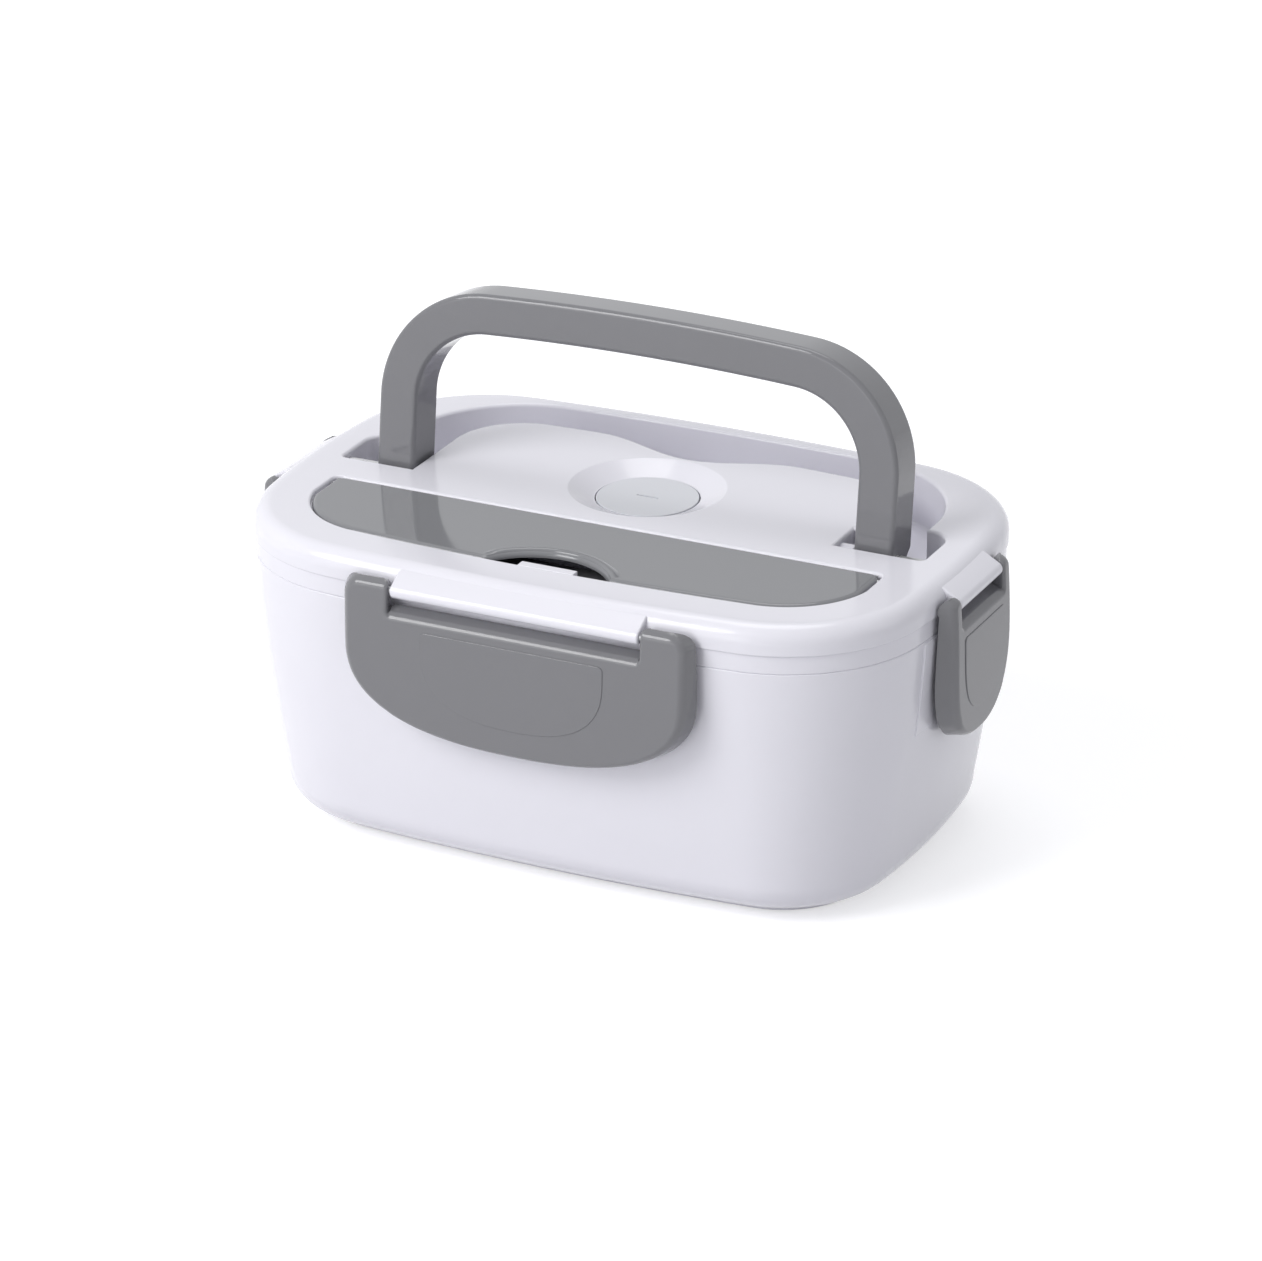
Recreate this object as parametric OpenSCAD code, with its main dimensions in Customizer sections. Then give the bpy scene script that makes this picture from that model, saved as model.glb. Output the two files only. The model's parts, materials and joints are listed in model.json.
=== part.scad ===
// Electric lunch box: a heated base with a lift-out food tray and a side container,
// under a clip-on lid that carries a folding handle, a cutlery well and a steam vent.
// Millimetres, +Z up, the front faces -Y, the origin lies under the middle of the base.

/* [Case outline] */
// Length of the case at the lid rim, without the latches
case_l = 230; // [212:1:250]
// Depth of the case at the lid rim, without the latches
case_w = 156; // [150:1:170]
// Radius of the vertical corners at the rim
corner_r = 48; // [44:1:52]
// How far the long sides bulge past their corners
long_bulge = 8; // [6:0.5:10]
// How far the short ends bulge past their corners
end_bulge = 10.5; // [8:0.5:12]
// Straight pieces in each rounded corner
corner_steps = 9; // [6:1:14]

/* [Base] */
// Height of the seam between base and lid
seam_z = 89; // [86:1:100]
// Wall of the base shell
base_wall = 2.4; // [1.8:0.1:3]
// Inset of the base wall at the seam
rim_inset = 0.7; // [0.4:0.1:1.5]
// How far the base wall draws in above the bottom curve
base_taper = 8.4; // [6:0.2:10]
// Curvature of the base wall, one is straight
taper_curve = 1.4; // [1:0.1:1.8]
// Radius of the curve between wall and bottom
bottom_r = 12; // [8:1:14]
// Thickness of the bottom cover
cover_t = 2.4; // [2:0.1:3]
// How far the rubber feet stand out of the bottom cover
foot_out = 0.8; // [0.5:0.1:2]
// Radius of a rubber foot
foot_r = 7; // [5:0.5:8]

/* [Trays] */
// Depth of the lid plug below the seam
plug_drop = 7; // [5:0.5:8]
// Thickness of the lid seal
seal_t = 1.6; // [1.2:0.1:2.4]
// Thickness of the metal heating basin
basin_t = 1.2; // [1:0.1:1.6]
// Inside depth of the heating basin
basin_d = 44; // [38:1:46]
// Wall of the food tray
tray_t = 1.6; // [1.2:0.1:2]
// Position of the divider in the food tray
divider_x = 26; // [15:1:35]
// Gap between the side container and the walls beside it
container_gap = 0.8; // [0.5:0.1:1.5]
// Height of the side container
container_h = 38; // [28:1:39]

/* [Lid] */
// Height of the lid above the seam
lid_h = 15; // [14:0.5:16]
// Height of the lower lid band above the seam
band_h = 6; // [5:0.5:6.5]
// Wall of the lid parts
lid_wall = 2; // [1.6:0.1:2.2]
// Radius of the lid's upper edge
lid_edge_r = 6; // [4:0.5:7]
// Gap round the folded handle in its channel
channel_gap = 2.5; // [1.5:0.1:2.6]
// Distance from the rim to the cutlery well
well_inset = 18.3; // [16:0.1:19]
// Distance of the cutlery well's straight edge in front of the middle
well_back = 18.5; // [16:0.5:20]
// Depth of the cutlery well
well_d = 16; // [13:0.5:16.5]
// Radius of the vent recess
vent_r = 26; // [22:0.5:27]
// Distance of the vent behind the middle
vent_y = 15; // [12:0.5:16]
// Depth of the vent recess
vent_d = 6; // [5:0.5:7]
// Radius of the vent plug
plug_r = 16.5; // [13:0.5:18]

/* [Handle] */
// Half of the width over the handle's legs
grip_half = 89.8; // [86:0.2:90]
// Width of the handle's band, seen from the front
leg_w = 13.2; // [12:0.1:14]
// Thickness of the handle from front to back
grip_t = 15.8; // [13:0.2:16.2]
// Height of the grip's top above the pivot
grip_h = 64.6; // [58:0.2:65]
// Rise of the crossbar's arch
grip_arch = 4.1; // [2:0.1:5]
// Outer corner radius of the handle
grip_r = 37.9; // [30:0.1:40]
// Lean of the standing handle
grip_lean = 6.5; // [0:0.5:8]
// Distance of the pivot behind the middle
grip_y = 2; // [1:0.5:3]
// Depth of the pivot below the lid's top
grip_drop = 4; // [4:0.2:5]
// Radius of the handle pins
grip_pin_r = 1.8; // [1.5:0.1:1.9]
// Chamfer of the handle's edges
grip_chamfer = 1.5; // [0.5:0.1:2.5]

/* [Latches] */
// Half of the width of the front and rear latches
long_latch = 58; // [50:0.5:60]
// Half of the width of the side latches
side_latch = 23; // [21:0.5:26]
// Width of an ear of the front and rear latches
long_ear = 15.5; // [12:0.5:16]
// Width of an ear of the side latches
side_ear = 6; // [5.5:0.5:7]
// Distance of the latch pivot outside the rim
pivot_out = 2.4; // [2.4:0.1:3]
// Height of the latch pivot above the seam
pivot_up = 8.2; // [7.8:0.1:8.6]
// Length of a latch below its pivot
latch_drop = 46.8; // [44:0.2:48]
// Radius of an ear round its pin
ear_r = 2.6; // [2.4:0.1:2.6]
// Radius of the latch pins
latch_pin_r = 1.1; // [0.9:0.1:1.2]
// Wall of a latch
latch_wall = 1.8; // [1.6:0.1:2]

/* [Heater] */
// Radius of the heating plate
plate_r = 52; // [40:1:56]
// Thickness of the heating plate
plate_t = 2; // [1.5:0.1:3]
// Length of the heating element
element_l = 60; // [40:1:70]
// Height of the heating element and its clamp posts
element_h = 6; // [5:0.5:7]
// Width of the power inlet
inlet_w = 30; // [26:1:34]
// Height of the power inlet
inlet_h = 13; // [12:0.5:13.5]

/* [Hidden] */

white = "#ebe9f2";
grey = "#88888c";
dark = "#3a3a3e";
steel = "silver";
silicone = "#d5dae2";

fit_gap = 0.3;
run_gap = 0.05;
eps = 0.01;
round_fn = 48;

// Circles that share their tangents make the outline, so that an inset keeps its centres.
long_r = (pow(case_l / 2, 2) + pow(long_bulge, 2)) / (2 * long_bulge);
end_r = (pow(case_w / 2, 2) + pow(end_bulge, 2)) / (2 * end_bulge);
long_c = [0, case_w / 2 - long_r];
end_c = [case_l / 2 - end_r, 0];
corner_c = meet(long_c, long_r - corner_r, end_c, end_r - corner_r);
corner_a = atan2(corner_c.y - end_c.y, corner_c.x - end_c.x);
corner_b = atan2(corner_c.y - long_c.y, corner_c.x - long_c.x);
side_steps = 4;

lid_z = seam_z + lid_h;
band_z = seam_z + band_h;
shell_z = foot_out + cover_t;
plate_z = seam_z - plug_drop;
seal_z = plate_z - seal_t;
flange_t = 1.5;
tray_z = seal_z - flange_t;
ledge_z = tray_z - flange_t;
ledge_t = 2;
plug_wall_inset = 4.2;
plug_inset = plug_wall_inset + lid_wall;
plug_top = plate_z + lid_wall;
seal_outer = plug_inset + 1.4;
seal_w = 4;
tub_z = plug_top + eps;
well_z = lid_z - well_d;

// Returns the outer crossing point of two circles
function meet(p, rp, q, rq) =
    let (d = norm(q - p), u = (rp * rp - rq * rq + d * d) / (2 * d), h = sqrt(rp * rp - u * u), e = (q - p) / d)
    p + u * e + h * [e.y, -e.x];

function arc(c, r, from, to, steps) =
    [for (i = [0:steps]) c + r * [cos(from + (to - from) * i / steps), sin(from + (to - from) * i / steps)]];

function quarter(inset) = concat(
    [for (i = [0:side_steps - 1]) arc(end_c, end_r - inset, 0, corner_a, side_steps)[i]],
    arc(corner_c, corner_r - inset, corner_a, corner_b, corner_steps),
    [for (i = [1:side_steps]) arc(long_c, long_r - inset, corner_b, 90, side_steps)[i]]);

// The case outline, drawn in by inset
function outline(inset) =
    let (q = quarter(inset), k = len(q) - 1)
    concat(
        [for (i = [0:k - 1]) q[i]], [for (i = [k:-1:1]) [-q[i].x, q[i].y]],
        [for (i = [0:k - 1]) -q[i]], [for (i = [k:-1:1]) [q[i].x, -q[i].y]]);

// Inset of the base wall at a height
function wall_inset(z) =
    rim_inset + base_taper * pow(max(0, (seam_z - z) / (seam_z - shell_z - bottom_r)), taper_curve);

// The end face of a ring of points: one face, or for a band that bends, a strip across it
function end_face(n, bent) =
    bent ? [for (i = [0:n / 2 - 2]) [i, i + 1, n - 2 - i, n - 1 - i]] : [[for (i = [0:n - 1]) i]];

// A closed solid through rings of points, each ring one level of the profile
module skin(rings, bent = false) {
    n = len(rings[0]);
    last = len(rings) - 1;
    polyhedron(
        [for (ring = rings) for (p = ring) p],
        concat(
            end_face(n, bent),
            [for (k = [0:last - 1]) for (i = [0:n - 1])
                [k * n + i, (k + 1) * n + i, (k + 1) * n + (i + 1) % n, k * n + (i + 1) % n]],
            [for (face = end_face(n, bent)) [for (i = [len(face) - 1:-1:0]) last * n + face[i]]]));
}

// A solid with the case outline, from a list of [inset, height]
module loft(profile) {
    skin([for (p = profile) [for (q = outline(p[0])) [q.x, q.y, p[1]]]]);
}

module slab(inset, z0, z1) {
    translate([0, 0, z0]) linear_extrude(z1 - z0) polygon(outline(inset));
}

module frame(outer, inner, z0, z1) {
    difference() {
        slab(outer, z0, z1);
        slab(inner, z0 - 1, z1 + 1);
    }
}

// A cylinder along X, from x0 to x1
module rod_x(x0, x1, y, z, r) {
    translate([x0, y, z]) rotate([0, 90, 0]) cylinder(h = x1 - x0, r = r, $fn = round_fn);
}

// A cylinder along Y, from y0 to y1
module rod_y(x, y0, y1, z, r) {
    translate([x, y0, z]) rotate([-90, 0, 0]) cylinder(h = y1 - y0, r = r, $fn = round_fn);
}

module post(x, y, z0, z1, r) {
    translate([x, y, z0]) cylinder(h = z1 - z0, r = r, $fn = round_fn);
}

// A box from its low corner
module block(low, size) {
    translate(low) cube(size);
}

// A profile of [y, z] points, extruded along X and centred there
module bar_x(half, points) {
    translate([-half, 0, 0]) rotate([90, 0, 90]) linear_extrude(2 * half) polygon(points);
}

// Each of these turns what is drawn at the front to its own side of the case
module at_front() {
    translate([0, -case_w / 2 - pivot_out, seam_z + pivot_up]) children();
}

module at_rear() {
    rotate([0, 0, 180]) at_front() children();
}

module at_right() {
    rotate([0, 0, 90]) translate([0, -case_l / 2 - pivot_out, seam_z + pivot_up]) children();
}

module at_left() {
    rotate([0, 0, 180]) at_right() children();
}

// Base

base_top_inset = rim_inset + base_taper;
base_bottom_inset = base_top_inset + bottom_r;
opening_inset = base_bottom_inset + 13;
screw_inset = base_bottom_inset + 7;
boss_r = 4;
boss_h = 9;
screw_r = 1.3;
screw_head_r = 2.8;
screw_head_t = 1.4;
screw_gap = 0.2;
slot_w = 0.7;
foot_sink = 1;
foot_in_x = 50;
foot_in_y = 42;
foot_at = [case_l / 2 - foot_in_x, case_w / 2 - foot_in_y];
inlet_z = shell_z + bottom_r + inlet_h / 2 + 0.5;
inlet_depth = 14;
inlet_lip = 0.8;
inlet_back = 2.5;
socket_w = inlet_w - 8;
socket_h = inlet_h - 5;
contact_r = 1.2;
contact_x = 5;
contact_recess = 5;
contact_tail = 6;
lens_r = 2.5;
lens_x = inlet_w / 2 + 11;
lens_out = 0.6;
lens_l = 4;
lamp_r = 2;
lamp_l = 6;

// Base profile drawn in by a wall thickness, from the bottom up to the height top
function base_profile(wall, top) = concat(
    [for (t = [90:-18:0]) [
        base_top_inset + wall + (bottom_r - wall) * (1 - cos(t)),
        shell_z + wall + (bottom_r - wall) * (1 - sin(t))]],
    [for (k = [1:5]) let (z = shell_z + bottom_r + (seam_z - shell_z - bottom_r) * k / 5) [
        wall_inset(z) + wall, z + (k == 5 ? top - seam_z : 0)]]);

rear_y = case_w / 2 - wall_inset(inlet_z);
inlet_y = rear_y - inlet_depth;
pin_end = rear_y + inlet_lip - contact_recess;
lens_y = long_c.y + sqrt(pow(long_r - wall_inset(inlet_z), 2) - pow(lens_x, 2)) + lens_out;

// Latch parts, drawn at the front with the pivot at zero and +Y towards the case

plate_top = -4.6;
ridge_z = -7;
latch_wide_z = -18.2;
latch_power = 2.3;
latch_bulge = 1.2;
latch_back = 2;
latch_back_low = 3.9;
catch_y = 0.8;
catch_z = -27;
catch_top = -17;
catch_depth = 2.2;
catch_bevel = 1.5;
release_slope = 2;
hook_gap = 0.5;
hook_root = 0.5;
hook_reach = 1.5;
hook_h = 6.5;
hook_bevel = 1.6;
pad_gap = 0.4;
pad_y = latch_back_low + pad_gap;
pad_top = -15.2;
pad_low = 1 - latch_drop;
nose_r = 2.3;
pin_sink = 2.5;
long_hook = long_latch - 23;
side_hook = side_latch - 12;
long_pad = long_hook + 6;
side_pad = side_latch + 6;
bar_gap = 0.4;
ear_top_r = 3.8;

// Where the wall's own thickness lies behind a latch, at a height below the pivot
function behind(z) = pivot_out + wall_inset(z + seam_z + pivot_up) + base_wall - 0.3;

function latch_outline(half, top_r, inset) = concat(
    arc([half - top_r, ear_r - top_r], top_r - inset, 0, 90, 5),
    arc([top_r - half, ear_r - top_r], top_r - inset, 90, 180, 5),
    [for (a = [180:7.5:360]) [
        (half - inset) * sign(cos(a)) * pow(abs(cos(a)), 2 / latch_power),
        latch_wide_z - (latch_drop + latch_wide_z - inset) * pow(abs(sin(a)), 2 / latch_power)]]);

function latch_front(z, wall) =
    wall - ear_r - latch_bulge * (1 - pow(2 * z / latch_drop + 1, 2));

module latch_profile(half, wall, z_top, back, back_low) {
    bar_x(half, concat(
        [for (i = [0:12]) let (z = z_top - (z_top + latch_drop) * i / 12) [latch_front(z, wall), z]],
        [[back_low, -latch_drop], [back, z_top]]));
}

module latch_shape(half, top_r, inset) {
    translate([0, 10, 0]) rotate([90, 0, 0]) linear_extrude(20) polygon(latch_outline(half, top_r, inset));
}

module latch(half, ear, hook_half) {
    slot_y = latch_front(ridge_z, 0) + 1;
    root_y = latch_front(catch_z, latch_wall) - hook_root;
    root_z = catch_z - hook_gap + release_slope * hook_root;
    difference() {
        intersection() {
            latch_shape(half, ear_top_r, 0);
            union() {
                rod_x(-half, half, 0, 0, ear_r);
                latch_profile(half, 0, 0, latch_back, latch_back_low);
            }
        }
        intersection() {
            latch_shape(half, ear_top_r, latch_wall);
            latch_profile(half, latch_wall, ridge_z - latch_wall, 10, 10);
        }
        bar_x(half - ear, [
            [-10, ridge_z], [slot_y, ridge_z], [-1, plate_top], [10, plate_top], [10, 10], [-10, 10]]);
        rod_x(-half + pin_sink - fit_gap, half - pin_sink + fit_gap, 0, 0, latch_pin_r + run_gap);
    }
    bar_x(hook_half, [
        [root_y, catch_z - hook_h], [catch_y - hook_root, catch_z - hook_h],
        [catch_y + hook_reach, catch_z - hook_h + hook_bevel],
        [catch_y + hook_reach, catch_z - hook_gap - release_slope * hook_reach],
        [catch_y - hook_root, root_z], [root_y, root_z]]);
}

// What a latch closes on: a flat pad on the wall and the catch that its hook holds
module catch(pad_half, catch_half) {
    under = catch_z - release_slope * catch_depth;
    bar_x(pad_half, [
        [pad_y, pad_top], [behind(pad_top), pad_top], [behind(pad_low), pad_low], [pad_y, pad_low]]);
    bar_x(catch_half, [
        [behind(catch_top), catch_top], [catch_y + catch_bevel, catch_top], [catch_y, catch_top - catch_bevel],
        [catch_y, catch_z], [catch_y + catch_depth, under], [behind(under), under]]);
}

// The bar on the lid that a latch hangs from
module hinge_bar(half) {
    low = band_h - pivot_up + 0.1;
    top = lid_h - pivot_up;
    difference() {
        union() {
            rod_x(-half, half, 0, 0, nose_r);
            bar_x(half, [[-1.1, nose_r - 0.3], [pivot_out + 1.7, top - 1.8], [pivot_out + 2.4, top - 3],
                [pivot_out + 2.4, low], [pivot_out, low], [1.1, 0.3 - nose_r]]);
        }
        rod_x(-half - 1, half + 1, 0, 0, latch_pin_r);
    }
}

// Repeats what is drawn at the four screw posts in the base's corners
module at_screws() {
    for (sx = [-1, 1]) for (sy = [-1, 1]) {
        reach = (corner_r - screw_inset) / sqrt(2);
        translate([sx * (corner_c.x + reach), sy * (corner_c.y + reach), 0]) children();
    }
}

module at_feet() {
    for (sx = [-1, 1]) for (sy = [-1, 1]) translate([sx * foot_at.x, sy * foot_at.y, 0]) children();
}

module base_shell() {
    color(white) difference() {
        union() {
            difference() {
                loft(base_profile(0, seam_z));
                loft(base_profile(base_wall, seam_z + 1));
            }
            frame(wall_inset(ledge_z) + base_wall / 2, seal_outer, ledge_z - ledge_t, ledge_z);
            at_screws() post(0, 0, shell_z, shell_z + boss_h, boss_r);
            at_front() catch(long_pad, long_hook);
            at_rear() catch(long_pad, long_hook);
            at_right() catch(side_pad, side_hook);
            at_left() catch(side_pad, side_hook);
        }
        difference() {
            slab(opening_inset, shell_z - 1, shell_z + base_wall + 1);
            at_screws() post(0, 0, shell_z - 1, shell_z + boss_h, boss_r);
        }
        at_screws() post(0, 0, shell_z - 1, shell_z + boss_h - 1, screw_r);
        block([-inlet_w / 2, inlet_y, inlet_z - inlet_h / 2], [inlet_w, 2 * inlet_depth, inlet_h]);
        rod_y(lens_x, lens_y - 2 * lens_l, lens_y + 1, inlet_z, lens_r);
    }
}

module bottom_cover() {
    color(white) difference() {
        slab(base_bottom_inset + fit_gap, foot_out, shell_z);
        at_screws() {
            post(0, 0, 0, foot_out + screw_head_t, screw_head_r + screw_gap);
            post(0, 0, 0, shell_z + 1, screw_r + screw_gap);
        }
        at_feet() post(0, 0, 0, foot_out + foot_sink, foot_r);
    }
}

module bottom_screws() {
    color(steel) at_screws() {
        difference() {
            post(0, 0, foot_out + eps, foot_out + screw_head_t, screw_head_r);
            block([-screw_head_r / 2, -slot_w / 2, foot_out], [screw_head_r, slot_w, slot_w]);
        }
        post(0, 0, foot_out + screw_head_t - eps, shell_z + boss_h - 2, screw_r);
    }
}

module rubber_feet() {
    color(dark) at_feet() post(0, 0, 0, foot_out + foot_sink, foot_r);
}

// Heater

basin_z = ledge_z - basin_d;
basin_top_inset = plug_inset + 2.2;
basin_low_inset = basin_top_inset + 7;
flange_inset = plug_wall_inset + 0.2;
basin_round = 3.5;
plate_low = basin_z - plate_t;
element_w = 24;
element_z = plate_low - element_h;
strap_t = 1.5;
strap_w = 12;
clamp_x = element_l / 2 + 6;
clamp_r = 3.5;
clamp_screw_r = 1.2;
thermostat_r = 8;
thermostat_h = 6;
sensor_y = 32;
fuse_r = 2;
fuse_l = 16;
wire_bend_y = element_w / 2 + 4;
wire_z = element_z + element_h / 2;

function tub(low, top, z0, z1, wall) = [
    [low + basin_round + wall, z0 + wall], [low + wall + basin_round * 0.3, z0 + wall + basin_round * 0.3],
    [low + wall, z0 + wall + basin_round], [top + wall, z1]];

module heating_basin() {
    color(steel) difference() {
        union() {
            loft(tub(basin_low_inset, basin_top_inset, basin_z, ledge_z + flange_t / 2, 0));
            slab(flange_inset, ledge_z, ledge_z + flange_t);
        }
        loft(tub(basin_low_inset, basin_top_inset, basin_z, ledge_z + flange_t + 1, basin_t));
    }
}

module heating_plate() {
    color(steel) post(0, 0, plate_low, basin_z, plate_r);
}

module heating_element() {
    color("dimgray") block([-element_l / 2, -element_w / 2, element_z], [element_l, element_w, element_h]);
}

module element_clamp() {
    color(steel) difference() {
        union() {
            block([-clamp_x - clamp_r, -strap_w / 2, element_z - strap_t],
                [2 * (clamp_x + clamp_r), strap_w, strap_t]);
            for (s = [-1, 1]) post(s * clamp_x, 0, element_z - eps, plate_low, clamp_r);
        }
        for (s = [-1, 1]) post(s * clamp_x, 0, element_z - strap_t - 1, plate_low - 1, clamp_screw_r);
    }
}

module clamp_screws() {
    color(steel) for (s = [-1, 1]) {
        post(s * clamp_x, 0, element_z - strap_t - screw_head_t, element_z - strap_t, screw_head_r);
        post(s * clamp_x, 0, element_z - strap_t - eps, plate_low - 1.4, clamp_screw_r);
    }
}

module thermostat() {
    color("dimgray") {
        post(0, sensor_y, plate_low - thermostat_h, plate_low, thermostat_r);
        post(0, sensor_y, plate_low - thermostat_h - 1, plate_low, thermostat_r * 0.6);
    }
}

module thermal_fuse() {
    color("white") {
        rod_x(-fuse_l / 2, fuse_l / 2, -sensor_y, plate_low - fuse_r, fuse_r);
        block([-fuse_l / 3, -sensor_y - fuse_r, plate_low - fuse_r], [fuse_l * 2 / 3, 2 * fuse_r, fuse_r]);
    }
}

module inlet_housing() {
    color(dark) difference() {
        block([-inlet_w / 2, inlet_y, inlet_z - inlet_h / 2], [inlet_w, inlet_depth + inlet_lip, inlet_h]);
        block([-socket_w / 2, inlet_y + inlet_back, inlet_z - socket_h / 2], [socket_w, inlet_depth, socket_h]);
        for (s = [-1, 1]) rod_y(s * contact_x, inlet_y - 1, rear_y, inlet_z, contact_r);
    }
}

module inlet_pins() {
    color("gold") for (s = [-1, 1])
        rod_y(s * contact_x, inlet_y - contact_tail, pin_end, inlet_z, contact_r);
}

module inlet_wires() {
    color("firebrick") for (s = [-1, 1]) {
        rod_y(s * contact_x, wire_bend_y, inlet_y - contact_tail, inlet_z, contact_r);
        translate([s * contact_x, wire_bend_y, inlet_z]) sphere(r = contact_r, $fn = round_fn);
        post(s * contact_x, wire_bend_y, inlet_z, wire_z, contact_r);
        translate([s * contact_x, wire_bend_y, wire_z]) sphere(r = contact_r, $fn = round_fn);
        rod_y(s * contact_x, element_w / 2, wire_bend_y, wire_z, contact_r);
    }
}

module indicator_lens() {
    color("orange") rod_y(lens_x, lens_y - lens_l, lens_y, inlet_z, lens_r);
}

module indicator_lamp() {
    color("whitesmoke") rod_y(lens_x, lens_y - lens_l - lamp_l, lens_y - lens_l, inlet_z, lamp_r);
}

// Trays

tray_top_inset = basin_top_inset + basin_t + 0.6;
tray_low_inset = basin_low_inset + basin_t + 0.6;
tray_low = basin_z + basin_t + fit_gap;
divider_h = container_h;
container_t = 1.5;
container_inset = tray_low_inset + tray_t + basin_round + container_gap;
container_x = divider_x + tray_t + container_gap;

module food_tray() {
    color("gainsboro") {
        difference() {
            union() {
                loft(tub(tray_low_inset, tray_top_inset, tray_low, tray_z + flange_t / 2, 0));
                slab(flange_inset, tray_z, tray_z + flange_t);
            }
            loft(tub(tray_low_inset, tray_top_inset, tray_low, tray_z + flange_t + 1, tray_t));
        }
        intersection() {
            loft(tub(tray_low_inset, tray_top_inset, tray_low, tray_z, tray_t / 2));
            block([divider_x, -case_w / 2, tray_low], [tray_t, case_w, divider_h]);
        }
    }
}

module side_container() {
    color(white) difference() {
        intersection() {
            slab(container_inset, tray_low + tray_t, tray_low + tray_t + container_h);
            block([container_x, -case_w / 2, 0], [case_l, case_w, seam_z]);
        }
        intersection() {
            slab(container_inset + container_t, tray_low + tray_t + container_t, seam_z);
            block([container_x + container_t, -case_w / 2, 0], [case_l, case_w, seam_z]);
        }
    }
}

// Lid

grip_front = 3.2;
grip_back = grip_t - grip_front;
grip_pivot = [grip_y, lid_z - grip_drop];
leg_low = 4.5;
toe_cut = 2.7;
heel_cut = 7.6;
heel_r = norm([grip_back, heel_cut - leg_low]);
arch_r = (pow(grip_half, 2) + pow(grip_arch, 2)) / (2 * grip_arch);
arch_c = [0, grip_h - arch_r];
bend_x = grip_half - grip_r;
bend_c = [bend_x, arch_c.y + sqrt(pow(arch_r - grip_r, 2) - pow(bend_x, 2))];
bend_a = atan2(bend_c.y - arch_c.y, bend_x);
bend_steps = 8;
arch_steps = 6;
grip_gap = 0.8;
channel_z = grip_pivot.y - heel_r - grip_gap / 2;
pocket_y = grip_y - leg_low - 0.7;
pocket_back = 12;
pocket_in = grip_half - leg_w - 5.1;
pocket_out = grip_half + 11.2;
pocket_rear = 20.5;
pocket_r = 8;
grip_boss_r = grip_pin_r + 0.8;
dip_half = 36;
dip_d = 10;
dip_steps = 12;

well_half = case_l / 2 - well_inset - 2;
well_front = case_w / 2 - well_inset;
lid_cover_t = 2;
cover_gap = 0.4;
cover_seat = 1.5;
barrel_r = 2;
hinge_y = -well_back - cover_gap - barrel_r;
hinge_z = lid_z - barrel_r;
cover_pin_r = 0.8;
cover_pin_l = 9;
notch_half = 21.5;
notch_d = 13;
notch_r = (notch_half * notch_half + notch_d * notch_d) / (2 * notch_d);
tab_half = 9.5;
tab_out = 3;
tab_t = 3;

vent_z = lid_z - vent_d;
vent_floor_t = 2;
stem_r = 3.2;
stem_hole_r = stem_r + 0.4;
vent_tube_r = 8;
plug_t = 2.4;
plug_lip = 3;
plug_foot_t = 2;
plug_travel = 4;
slit_l = 7;
slit_w = 0.8;

lid_boss_r = 4;
lid_screw_r = 1.3;
lid_screw_l = 11;
lid_boss_x = 50;
lid_boss_rear = 30;
lid_boss_front = 11;

// The handle's outer edge seen from the front, drawn in by inset
function crown(inset) = concat(
    arc(bend_c, grip_r - inset, 0, bend_a, bend_steps),
    [for (i = [1:arch_steps - 1]) arc(arch_c, arch_r - inset, bend_a, 180 - bend_a, arch_steps)[i]],
    arc([-bend_x, bend_c.y], grip_r - inset, 180 - bend_a, 180, bend_steps));

function dip(x) = abs(x) < dip_half ? dip_d * (1 + cos(180 * x / dip_half)) / 2 : 0;

// Rear edge of the raised middle, which the folded handle lies round
function island_edge(inset) = concat(
    arc(bend_c, grip_r - inset, 0, bend_a, bend_steps),
    [for (i = [1:2 * dip_steps - 1]) let (x = (arch_r - inset) * cos(bend_a) * (1 - i / dip_steps))
        [x, arch_c.y + sqrt(pow(arch_r - inset, 2) - x * x) - dip(x)]],
    arc([-bend_x, bend_c.y], grip_r - inset, 180 - bend_a, 180, bend_steps));

module island_2d(grow) {
    inset = leg_w + grip_gap + grow;
    difference() {
        polygon(concat(
            [for (p = island_edge(inset)) [p.x, p.y + grip_y]],
            [[inset - grip_half, -case_w / 2], [grip_half - inset, -case_w / 2]]));
        for (s = [0, 1]) mirror([s, 0, 0]) translate([pocket_in - grow, pocket_y - grow])
            square([case_l, pocket_back - pocket_y + 2 * grow]);
    }
}

// Plan of the channel that takes the folded handle
module channel_2d(grow) {
    wide = grip_half + channel_gap + grow;
    out = pocket_out + grow;
    front = pocket_y - grow;
    corner = [pocket_out - pocket_r, pocket_rear - pocket_r];
    difference() {
        union() {
            polygon(concat(
                [for (p = crown(-channel_gap - grow)) [p.x, p.y + grip_y]], [[-wide, front], [wide, front]]));
            polygon(concat(
                arc(corner, pocket_r + grow, 0, 90, corner_steps),
                arc([-corner.x, corner.y], pocket_r + grow, 90, 180, corner_steps), [[-out, front], [out, front]]));
        }
        island_2d(grow);
    }
}

module well_2d(grow) {
    intersection() {
        polygon(outline(well_inset - grow));
        translate([-well_half - grow, -case_w]) square([2 * (well_half + grow), case_w - well_back + grow]);
    }
}

// A level slice of one of the plans above
module level(z0, z1) {
    translate([0, 0, z0]) linear_extrude(z1 - z0) children();
}

// Lid profile drawn in by a wall thickness
function lid_profile(wall, low) = concat(
    [[wall, low]],
    [for (t = [0:15:90]) [
        lid_edge_r - (lid_edge_r - wall) * cos(t), lid_z - lid_edge_r + (lid_edge_r - wall) * sin(t)]]);

module at_lid_screws() {
    for (s = [-1, 1]) {
        translate([s * lid_boss_x, lid_boss_rear, 0]) children();
        translate([s * lid_boss_x, -lid_boss_front, 0]) children();
    }
}

// Draws one thing at the right and its mirror image at the left
module both_sides() {
    children();
    mirror([1, 0, 0]) children();
}

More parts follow.
